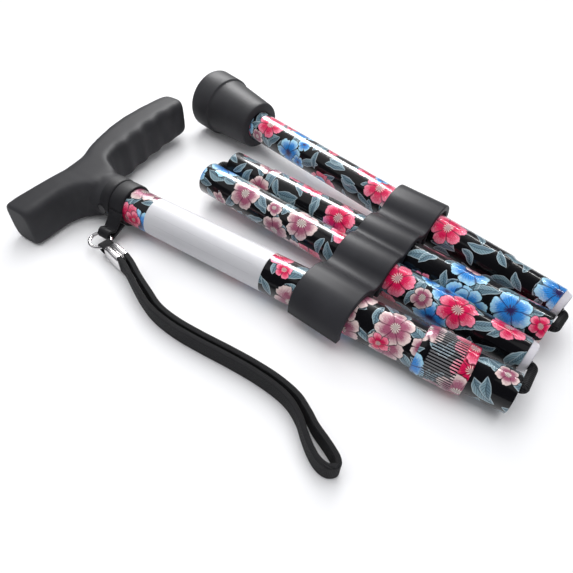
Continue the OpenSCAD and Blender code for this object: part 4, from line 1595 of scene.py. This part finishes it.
class StorageClip(Assembly):
    """The springy clip that holds the folded tubes."""

    sizes = ClipSizes()

    def lanes(self) -> tuple[float, float, float, float]:
        """Places of the tubes across the clip.

        Returns:
            Shift of the slanted tubes in the clip, then places of the second, third and fourth tube.
        """
        lay, s = self.layout, self.sizes
        along, across, along_tip, _ = lay.directions()
        foot_b, _, foot_d = lay.feet()
        mid = Vector((-s.back, 0, 0))
        b = (foot_b - mid).dot(across)
        cross = -(foot_d - mid).dot(along) / along_tip.dot(along)
        d = (foot_d + cross * along_tip - mid).dot(across)
        return s.length / 2 * math.tan(lay.splay), b, b + 2 * (lay.lower_r + lay.side_gap), d

    @staticmethod
    def arc(x: float, y: float, r: float, first: float, last: float, steps: int) -> Line:
        """Points of an arc about a middle, from one angle to another in degrees."""
        angles = [math.radians(first + (last - first) * k / steps) for k in range(steps + 1)]
        return [(x + r * math.cos(a), y + r * math.sin(a)) for a in angles]

    @staticmethod
    def valley(s1: float, r1: float, s2: float, r2: float, rv: float) -> tuple[float, float, float, float]:
        """Valley that touches two humps.

        Args:
            s1: Place of the first hump.
            r1: Its radius.
            s2: Place of the second hump.
            r2: Its radius.
            rv: The valley's radius.

        Returns:
            The valley's middle and the angles at which the humps meet it.
        """
        p, q, gap = r1 + rv, r2 + rv, s2 - s1
        x = (p * p - q * q + gap * gap) / (2 * gap)
        z = math.sqrt(p * p - x * x)
        return s1 + x, z, math.degrees(math.atan2(z, x)), math.degrees(math.atan2(z, x - gap))

    def pocket(self, left: float, right: float) -> Line:
        """Hollow between two channels, from its right side to its left.

        Args:
            left: Place of its left wall.
            right: Place of its right wall.

        Returns:
            Its points.
        """
        s = self.sizes
        return [(right - s.web, -s.drop), (right - s.web, s.pocket), (left + s.web, s.pocket),
                (left + s.web, -s.drop), (left, -s.drop)]

    def outline(self) -> Line:
        """Closed outline of the clip across the tubes.

        Returns:
            Points of place across and height.
        """
        lay, s, arc = self.layout, self.sizes, self.arc
        shift, b, c, d = self.lanes()
        wide, tight, low = lay.upper_r + s.play, lay.lower_r + s.play, -s.drop
        wide_out, tight_out = wide + s.wall, tight + s.wall
        out = [(-shift - wide_out, low)] + arc(-shift, 0, wide_out, 180, 90, 24)
        humps = [(shift, wide_out), (b, tight_out), (c, tight_out), (d - shift, tight_out)]
        start = 90.0
        for (s1, r1), (s2, r2), rv in zip(humps, humps[1:], (s.wide, s.tight, s.wide)):
            vx, vz, a1, a2 = self.valley(s1, r1, s2, r2, rv)
            out += arc(s1, 0, r1, start, a1, 18) + arc(vx, vz, rv, a1 + 180, a2 + 180, 14)[1:-1]
            start = a2
        out += arc(d - shift, 0, tight_out, start, 90, 12) + arc(d + shift, 0, tight_out, 90, 0, 24)
        out += [(d + shift + tight_out, low), (d + shift + tight, low)]
        out += arc(d + shift, 0, tight, 0, 90, 20) + arc(d - shift, 0, tight, 90, 180, 20)
        out += [(d - shift - tight, low)] + self.pocket(c + tight, d - shift - tight)
        out += arc(c, 0, tight, 0, 180, 36) + [(c - tight, low), (b + tight, low)]
        out += arc(b, 0, tight, 0, 180, 36) + [(b - tight, low)] + self.pocket(shift + wide, b - tight)
        out += arc(shift, 0, wide, 0, 90, 20) + arc(-shift, 0, wide, 90, 180, 20) + [(-shift - wide, low)]
        return [p for k, p in enumerate(out) if math.dist(p, out[k - 1]) > s.merge]

    def build(self) -> None:
        """Builds the clip from its outline, with rounded edges."""
        lay, s = self.layout, self.sizes
        curve = bpy.data.curves.new("clip_outline", "CURVE")
        curve.dimensions, curve.fill_mode = "2D", "BOTH"
        points = self.outline()
        line = curve.splines.new("POLY")
        line.points.add(len(points) - 1)
        for p, (x, y) in zip(line.points, points):
            p.co = (x, y, 0, 1)
        line.use_cyclic_u = True
        curve.extrude, curve.bevel_depth, curve.bevel_resolution = s.length / 2 - s.round, s.round, 3
        curve.offset = -s.round
        work = add_object("clip_work", curve)
        data = bpy.data.meshes.new_from_object(work.evaluated_get(bpy.context.evaluated_depsgraph_get()))
        bpy.data.objects.remove(work)
        stand = Matrix(((0, 0, 1, 0), (1, 0, 0, 0), (0, 1, 0, 0), (0, 0, 0, 1)))
        place = Matrix.Translation((-s.back, 0, 0)) @ Matrix.Rotation(-lay.splay, 4, "Z")
        data.transform(lay.bench() @ place @ stand)
        obj = add_object("storage_clip_moulding", data)
        Shapes.clean(data, dist=2e-6)
        data.materials.clear()
        Shapes.smooth(obj, sharp=40.0)
        self.fit(obj, Body.CLIP, Slot.CLIP, "storage_clip")


@dataclass
class StrapSizes:
    """Sizes of the wrist strap and its fittings in millimetres."""

    collar_len: float = 9.5
    collar_wall: float = 1.7
    collar_gap: float = 0.3
    play: float = 0.02
    tab_w: float = 9.5
    tab_t: float = 1.6
    tab_waist: float = 0.15
    tab_drop: float = 6.0
    tab_reach: float = 9.7
    tab_at: float = 1.0
    ring_at: float = 2.0
    ring_r: float = 6.0
    ring_sides: int = 64
    wire_r: float = 1.0
    wire_sides: int = 20
    tape_w: float = 10.5
    tape_t: float = 2.6
    turn: float = math.radians(-12)
    link_len: float = 5.5
    link_w: float = 7.0
    link_t: float = 1.1
    crimp_len: float = 13.0
    crimp_w: float = 4.3
    crimp_h: float = 9.8
    crimp_sides: int = 40
    # Middle line of the doubled tape: places along and across the upper tube, and height over the floor
    route: tuple = (
        (-201.6, -35.5, 7.2), (-195.5, -37.4, 7), (-186, -42.3, 6.5), (-175.5, -47.4, 5.9),
        (-163.1, -51.7, 5.6), (-148.6, -53.6, 5.5), (-133.3, -53.6, 5.5), (-117.9, -52.9, 5.5),
        (-103.4, -52.7, 5.5), (-90.8, -53.6, 5.5), (-81, -55.9, 5.5), (-73.2, -60.4, 5.5),
        (-67.8, -65.3, 5.5), (-62.4, -69.7, 5.5), (-57, -72.7, 5.5), (-52.4, -73, 5.5),
        (-49.7, -70.6, 5.5), (-51, -68, 5.5), (-54.4, -65.7, 5.5), (-59.3, -63.1, 5.5),
        (-65.2, -60.2, 5.5), (-71.3, -56.2, 5.5), (-79.1, -52.1, 5.5), (-90.3, -49.7, 5.5),
        (-103.5, -48.9, 5.5), (-118, -49.1, 5.5), (-133.4, -49.8, 5.5), (-148.7, -49.8, 5.5),
        (-162, -47.9, 5.6), (-173.5, -43.2, 5.9), (-184.2, -38.6, 6.4), (-194.2, -33.6, 6.9),
        (-200.7, -31.3, 7.2))


class WristStrap(Assembly):
    """The collar, ring, tape loop, crimp and wrist strap."""

    sizes = StrapSizes()

    @staticmethod
    def flat(wide: float, thick: float, bevel: float = 0.45) -> Line:
        """Outline of a tape with rounded edges.

        Args:
            wide: Width.
            thick: Thickness.
            bevel: Edge rounding.

        Returns:
            Points of sideways and up, with the width upwards.
        """
        out = []
        for sx, sy, a0 in ((1, 1, 0), (-1, 1, 90), (-1, -1, 180), (1, -1, 270)):
            for k in range(4):
                a = math.radians(a0 + 30 * k)
                out.append((sx * (thick / 2 - bevel) + bevel * math.cos(a),
                            sy * (wide / 2 - bevel) + bevel * math.sin(a)))
        return out

    def build(self) -> None:
        """Builds the strap and its fittings."""
        lay, s = self.layout, self.sizes
        bench = lay.bench()
        outer = lay.upper_r + s.collar_wall
        mid = lay.neck_x + s.collar_len / 2 + s.collar_gap
        self.collar(bench, mid, outer)
        eye_y = -(outer + s.tab_reach)
        self.tab(bench, mid, outer, eye_y)
        ring_at = Matrix.Translation((mid + s.ring_at, eye_y - s.ring_r, -s.tab_drop))
        place = bench @ ring_at @ Matrix.Rotation(s.turn, 4, "Z")
        ring, link, crimp = self.ring(place), self.link(place), self.crimp(place)
        route = [Vector((x, y, lay.floor_at(x, y) + z)) for x, y, z in s.route]
        path = Shapes.smooth_path(route, steps=9)
        section = self.flat(s.tape_w, s.tape_t)
        tape = Shapes.sweep("wrist_strap_tape", path, lambda k: section, bench)
        self.fit(tape, Body.ROOT, Slot.TAPE, "wrist_strap")

    def collar(self, bench: Matrix, mid: float, outer: float) -> None:
        """Band round the upper tube.

        Args:
            bench: The bench frame.
            mid: Middle of the collar.
            outer: Its radius.
        """
        s, edge = self.sizes, Shapes.edge
        first, last = mid - s.collar_len / 2, mid + s.collar_len / 2
        bore = self.layout.upper_r + s.play
        line = [(first, bore)] + edge(first, outer, (0, -0.7), (0.2, -0.2), (0.7, 0))
        line += edge(last, outer, (-0.9, 0), (-0.25, -0.25), (0, -0.9)) + [(last, bore)]
        self.fit(Shapes.lathe("strap_collar_band", line, bench), Body.ROOT, Slot.BAND, "strap_collar")

    def tab(self, bench: Matrix, mid: float, outer: float, eye_y: float) -> None:
        """Tab of the collar, looped round the metal ring.

        Args:
            bench: The bench frame.
            mid: Middle of the collar.
            outer: Its radius.
            eye_y: Place of the ring's wire.
        """
        s = self.sizes
        z = -s.tab_drop
        line = ((-outer + 0.6, 3.5), (-outer - 0.7, 0.5), (-outer - 3.6, -2.6), (eye_y + 3.0, -4.9),
                (eye_y, z + 2.6), (eye_y - 2.2, z + 1.0), (eye_y - 2.2, z - 1.0), (eye_y, z - 2.5),
                (eye_y + 3.0, z - 1.4), (-outer - 3.4, -6.2), (-outer + 0.4, -5.0))
        path = Shapes.smooth_path([Vector((0, y, up)) for y, up in line], steps=6)
        count = len(path) - 1

        def section(k: int) -> Line:
            """Outline at a point of the path, narrower in the middle."""
            width = s.tab_w * (1.0 - s.tab_waist * math.sin(math.pi * k / count) ** 2)
            return [(a, b) for b, a in self.flat(s.tab_t, width, bevel=0.4)]

        place = bench @ Matrix.Translation((mid + s.tab_at, 0, 0))
        obj = Shapes.sweep("strap_collar_tab", path, section, place, Vector((1, 0, 0)))
        self.fit(obj, Body.ROOT, Slot.BAND)

    def ring(self, place: Matrix) -> Object:
        """Round wire ring.

        Args:
            place: The strap's frame.

        Returns:
            The ring.
        """
        s = self.sizes
        points = []
        for k in range(s.ring_sides):
            a = math.tau * k / s.ring_sides
            p = Vector((s.ring_r * math.cos(a), s.ring_r * math.sin(a), 0))
            for j in range(s.wire_sides):
                b = math.tau * j / s.wire_sides
                rise = Vector((0, 0, s.wire_r * math.sin(b)))
                points.append(p * (1 + s.wire_r / s.ring_r * math.cos(b)) + rise)
        faces = Shapes.grid_faces(s.ring_sides, s.wire_sides, closed=True)
        obj = Shapes.mesh("strap_ring_wire", points, faces, place)
        return self.fit(obj, Body.ROOT, Slot.CHROME, "strap_ring")

    def link(self, place: Matrix) -> Object:
        """Short tape loop between the ring and the crimp.

        Args:
            place: The strap's frame.

        Returns:
            The loop.
        """
        s = self.sizes
        side = [(s.link_len, 1.0), (2.8, 1.8), (0.6, 2.3), (-1.6, 1.6)]
        line = side + [(-2.3, 0)] + [(x, -z) for x, z in reversed(side)]
        path = Shapes.smooth_path([Vector((s.ring_r + x, 0, z)) for x, z in line], steps=6)
        section = self.flat(s.link_w, s.link_t, bevel=0.35)
        obj = Shapes.sweep("strap_link_tape", path, lambda k: section, place, Vector((0, 1, 0)))
        return self.fit(obj, Body.ROOT, Slot.TAPE, "strap_link")

    def crimp(self, place: Matrix) -> Object:
        """Two-lobed metal crimp.

        Args:
            place: The strap's frame.

        Returns:
            The crimp.
        """
        s = self.sizes
        start, half, long = s.ring_r + s.link_len, s.crimp_w / 2, s.crimp_len
        rows = ((0.0, 0.72), (0.25, 0.88), (0.9, 1.0), (long / 2, 0.97), (long - 0.9, 1.0),
                (long - 0.25, 0.88), (long, 0.72))
        points, faces = [], []
        for lobe in (-1, 1):
            faces += Shapes.capped_faces(len(rows), s.crimp_sides, len(points))
            for x, grow in rows:
                for k in range(s.crimp_sides):
                    a = math.tau * k / s.crimp_sides
                    lift = (s.crimp_h - s.crimp_w) / 2 * (1 if math.sin(a) >= 0 else -1)
                    points.append((start + x, lobe * half + half * grow * math.cos(a),
                                   (lift + half * math.sin(a)) * (0.5 + 0.5 * grow)))
        obj = Shapes.mesh("strap_crimp_metal", points, faces, place)
        return self.fit(obj, Body.ROOT, Slot.CHROME, "strap_crimp")


@dataclass
class CordSizes:
    """Sizes of the elastic cord's bends in millimetres."""

    turn: float = 1.8
    radius: float = 2.1
    sides: int = 20
    steps: int = 20
    run_steps: int = 4


class CordBends(Assembly):
    """The elastic cord where it bends from one section to the next."""

    sizes = CordSizes()

    @staticmethod
    def ray(angle: float) -> Vector:
        """Unit direction in the bench's plane."""
        return Vector((math.cos(angle), math.sin(angle), 0))

    def route(self, pivot: Vector, radius: float, start: float, sweep: float) -> list[Vector]:
        """The line of one bend, out of a section, over its rim and into the next.

        Args:
            pivot: The fold's pivot.
            radius: The sections' radius.
            start: Direction from the pivot to the first section.
            sweep: Turn from the first section to the second.

        Returns:
            Its points.
        """
        s, lay = self.sizes, self.layout
        out = radius + lay.side_gap - lay.cord_side - s.turn
        ends = [pivot + out * self.ray(angle) for angle in (start, start + sweep)]
        arc = [s.turn * self.ray(start + sweep * k / (2 * s.steps)) for k in range(2 * s.steps + 1)]
        run = [(ends[1] - ends[0]) * k / s.run_steps for k in range(1, s.run_steps + 1)]
        path = [ends[0] + step for step in arc[:s.steps + 1]]
        path += [path[-1] + step for step in run]
        return path + [ends[1] + step for step in arc[s.steps + 1:]]

    def length(self, name: str, node: str, path: list[Vector]) -> Object:
        """One length of cord.

        Args:
            name: Name of the piece.
            node: CAD node that it stands for.
            path: Its line.

        Returns:
            The piece.
        """
        s = self.sizes
        angles = [math.tau * j / s.sides for j in range(s.sides)]
        ring = [(s.radius * math.cos(a), s.radius * math.sin(a)) for a in angles]
        obj = Shapes.sweep(name, path, lambda k: ring, self.layout.bench())
        obj.data.materials.append(self.finishes[Slot.CORD])
        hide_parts(node)
        LOG.info("%s: %d faces for %s", obj.name, len(obj.data.polygons), node)
        return obj

    def build(self) -> None:
        """Builds the bends."""
        lay = self.layout
        bench, left, a = lay.bench(), -math.pi / 2, lay.splay
        upper, middle, lower = lay.pivots()
        rows = (("cord_bend_upper", upper, lay.upper_r, left, Body.EXTENSION, Body.UPPER_LINK),
                ("cord_bend_lower", lower, lay.lower_r, left - a, Body.LOWER, Body.LOWER_LINK))
        for node, pivot, radius, start, first, second in rows:
            path = self.route(pivot, radius, start, math.pi - a)
            cover = self.length(f"{node}_cover", node, path)
            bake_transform(cover)
        # No blend can tell which way a half turn goes, so the middle bend is in two halves, one on each body
        path = self.route(middle, lay.lower_r, left - a, -math.pi)
        half = len(path) // 2
        near = self.length("cord_bend_middle_near", "cord_bend_middle", path[:half + 1])
        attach(near, Body.UPPER.value)
        far = self.length("cord_bend_middle_far", "cord_bend_middle", path[half:])
        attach(far, Body.MIDDLE_LINK.value)


class InnerPieces(Assembly):
    """CAD nodes shown as they are, with their finishes."""

    nodes: dict[str, Slot] = {
        "handle_screw": Slot.STEEL, "lock_bush": Slot.NYLON, "guide_plug": Slot.NYLON, "cord_pin": Slot.STEEL,
        "height_button": Slot.STEEL, "button_spring": Slot.STEEL, "cord_anchor": Slot.STEEL,
        "tip_washer": Slot.STEEL, "cord_upper": Slot.CORD, "cord_upper_middle": Slot.CORD,
        "cord_lower_middle": Slot.CORD, "cord_tip": Slot.CORD}

    def build(self) -> None:
        """Paints the inner CAD nodes."""
        lay = self.layout
        places = {"cord_upper": lay.bench(), "cord_upper_middle": lay.section(0),
                  "cord_lower_middle": lay.section(1), "cord_tip": lay.section(2)}
        for name, slot in self.nodes.items():
            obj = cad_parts[name]
            obj.data.materials.clear()
            # The handle screw takes the near-black steel that stands for the shade of its recess
            finish = self.finishes.recess_shade if name == "handle_screw" else self.finishes[slot]
            obj.data.materials.append(finish)
            if name in places:
                Shapes.wrap_uv(obj, places[name], lay.cord_r)
            LOG.info("%s: CAD node in %s", name, slot.value)


@dataclass
class StudioSizes:
    """Camera, floor and light values, in metres and watts."""

    camera: tuple = (0.10334, -0.206645, 0.203697)
    forward: tuple = (-0.3562392, 0.5935288, -0.7216766)
    right: tuple = (0.8389553, 0.5432212, 0.0326305)
    lens: float = 31.7353
    sensor: float = 36.0
    nearest: float = 0.01
    shift: tuple = (0.0275, -0.01636)
    floor: float = 6.0
    floor_drop: float = 0.0001
    floor_colour: Colour = (0.93, 0.93, 0.94)
    floor_rough: float = 0.6
    floor_gloss: float = 0.2
    clearing: tuple = (0.45, 1.1)
    glow: float = 0.03
    white: Colour = (1.0, 1.0, 1.0)
    sky: Colour = (0.30, 0.305, 0.32)
    shiny_sky: Colour = (0.11, 0.11, 0.125)
    # Place, aim, width and height, power and kind of each lamp
    lights: tuple = (
        ((-0.40, 0.56, 0.62), (-0.25, 0.05, 0.0), (0.50, 0.30), 19.0, Lamp.GLEAM),
        ((0.20, 0.60, 0.62), (0.08, 0.0, 0.0), (0.55, 0.03), 2.2, Lamp.GLEAM),
        ((-0.30, 0.55, 0.75), (-0.05, 0.02, 0.0), (0.6, 0.6), 2.6, Lamp.FILL),
        ((-0.05, 0.02, 1.10), (-0.05, 0.02, 0.0), (1.0, 1.0), 8.0, Lamp.FILL),
        ((-0.55, -0.25, 0.75), (-0.05, 0.0, 0.0), (0.7, 0.7), 1.2, Lamp.BOTH),
        ((0.65, -0.15, 0.80), (0.0, 0.0, 0.0), (0.6, 0.6), 0.8, Lamp.BOTH))


class Studio:
    """Floor, lights, backdrop and camera."""

    sizes = StudioSizes()

    def light(self, place: Sequence[float], aim: Sequence[float], size: tuple[float, float], power: float,
              kind: Lamp) -> None:
        """One soft light.

        Args:
            place: Where it is.
            aim: Where it looks.
            size: Its width and height.
            power: Its power.
            kind: What it does.
        """
        data = bpy.data.lights.new("softbox", "AREA")
        data.shape, data.size, data.size_y, data.energy = "RECTANGLE", size[0], size[1], power
        obj = add_object("softbox", data)
        obj.location = place
        obj.visible_glossy, obj.visible_diffuse = kind is not Lamp.FILL, kind is not Lamp.GLEAM
        obj.rotation_mode = "QUATERNION"
        obj.rotation_quaternion = (Vector(aim) - Vector(place)).to_track_quat("-Z", "Y")

    def floor(self) -> None:
        """Pale floor that glows to white away from the cane."""
        s = self.sizes
        half = s.floor / 2
        data = bpy.data.meshes.new("floor")
        corners = [(-half, -half, 0), (half, -half, 0), (half, half, 0), (-half, half, 0)]
        data.from_pydata(corners, [], [(0, 1, 2, 3)])
        floor = add_object("floor", data)
        floor.location.z = -s.floor_drop
        mat, g, bsdf = start_material("Pale floor")
        away = g.step(g.vector("LENGTH", g.place()), *s.clearing)
        g.fill(bsdf, {"Base Color": s.floor_colour, "Roughness": s.floor_rough,
                      "Specular IOR Level": s.floor_gloss, "Emission Strength": 1.0,
                      "Emission Color": g.mix(away, (s.glow,) * 3, s.white)})
        data.materials.append(mat)

    def backdrop(self) -> None:
        """White backdrop, with a dimmer sky for the light and a darker one for shiny surfaces."""
        s, world = self.sizes, bpy.data.worlds.new("Studio")
        bpy.context.scene.world = world
        world.use_nodes = True
        g = Graph(world.node_tree)
        path = g.node("ShaderNodeLightPath").outputs
        colour = g.mix(path["Is Glossy Ray"], s.sky, s.shiny_sky)
        colour = g.mix(path["Is Camera Ray"], colour, s.white)
        g.put(g.tree.nodes["Background"].inputs["Color"], colour)
        bpy.context.scene.view_settings.view_transform = "Standard"

    def camera(self) -> None:
        """Camera at the photo's own viewpoint."""
        s = self.sizes
        data = bpy.data.cameras.new("camera")
        camera = add_object("camera", data)
        right, forward = Vector(s.right).normalized(), Vector(s.forward).normalized()
        up = right.cross(forward).normalized()
        turn = Matrix((right, up, -forward)).transposed()
        camera.matrix_world = Matrix.Translation(s.camera) @ turn.to_4x4()
        data.lens, data.sensor_width, data.clip_start = s.lens, s.sensor, s.nearest
        data.shift_x, data.shift_y = s.shift
        bpy.context.scene.camera = camera

    def build(self) -> None:
        """Builds the studio."""
        self.floor()
        for row in self.sizes.lights:
            self.light(*row)
        self.backdrop()
        self.camera()


def main() -> None:
    """Builds every piece and the studio."""
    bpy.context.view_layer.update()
    layout = Layout()
    finishes = Finishes(layout)
    for kind in (Grip, Tubes, LockRing, RubberTip, StorageClip, WristStrap, CordBends, InnerPieces):
        kind(layout, finishes).build()
    Studio().build()


if __name__ == "__main__":
    main()
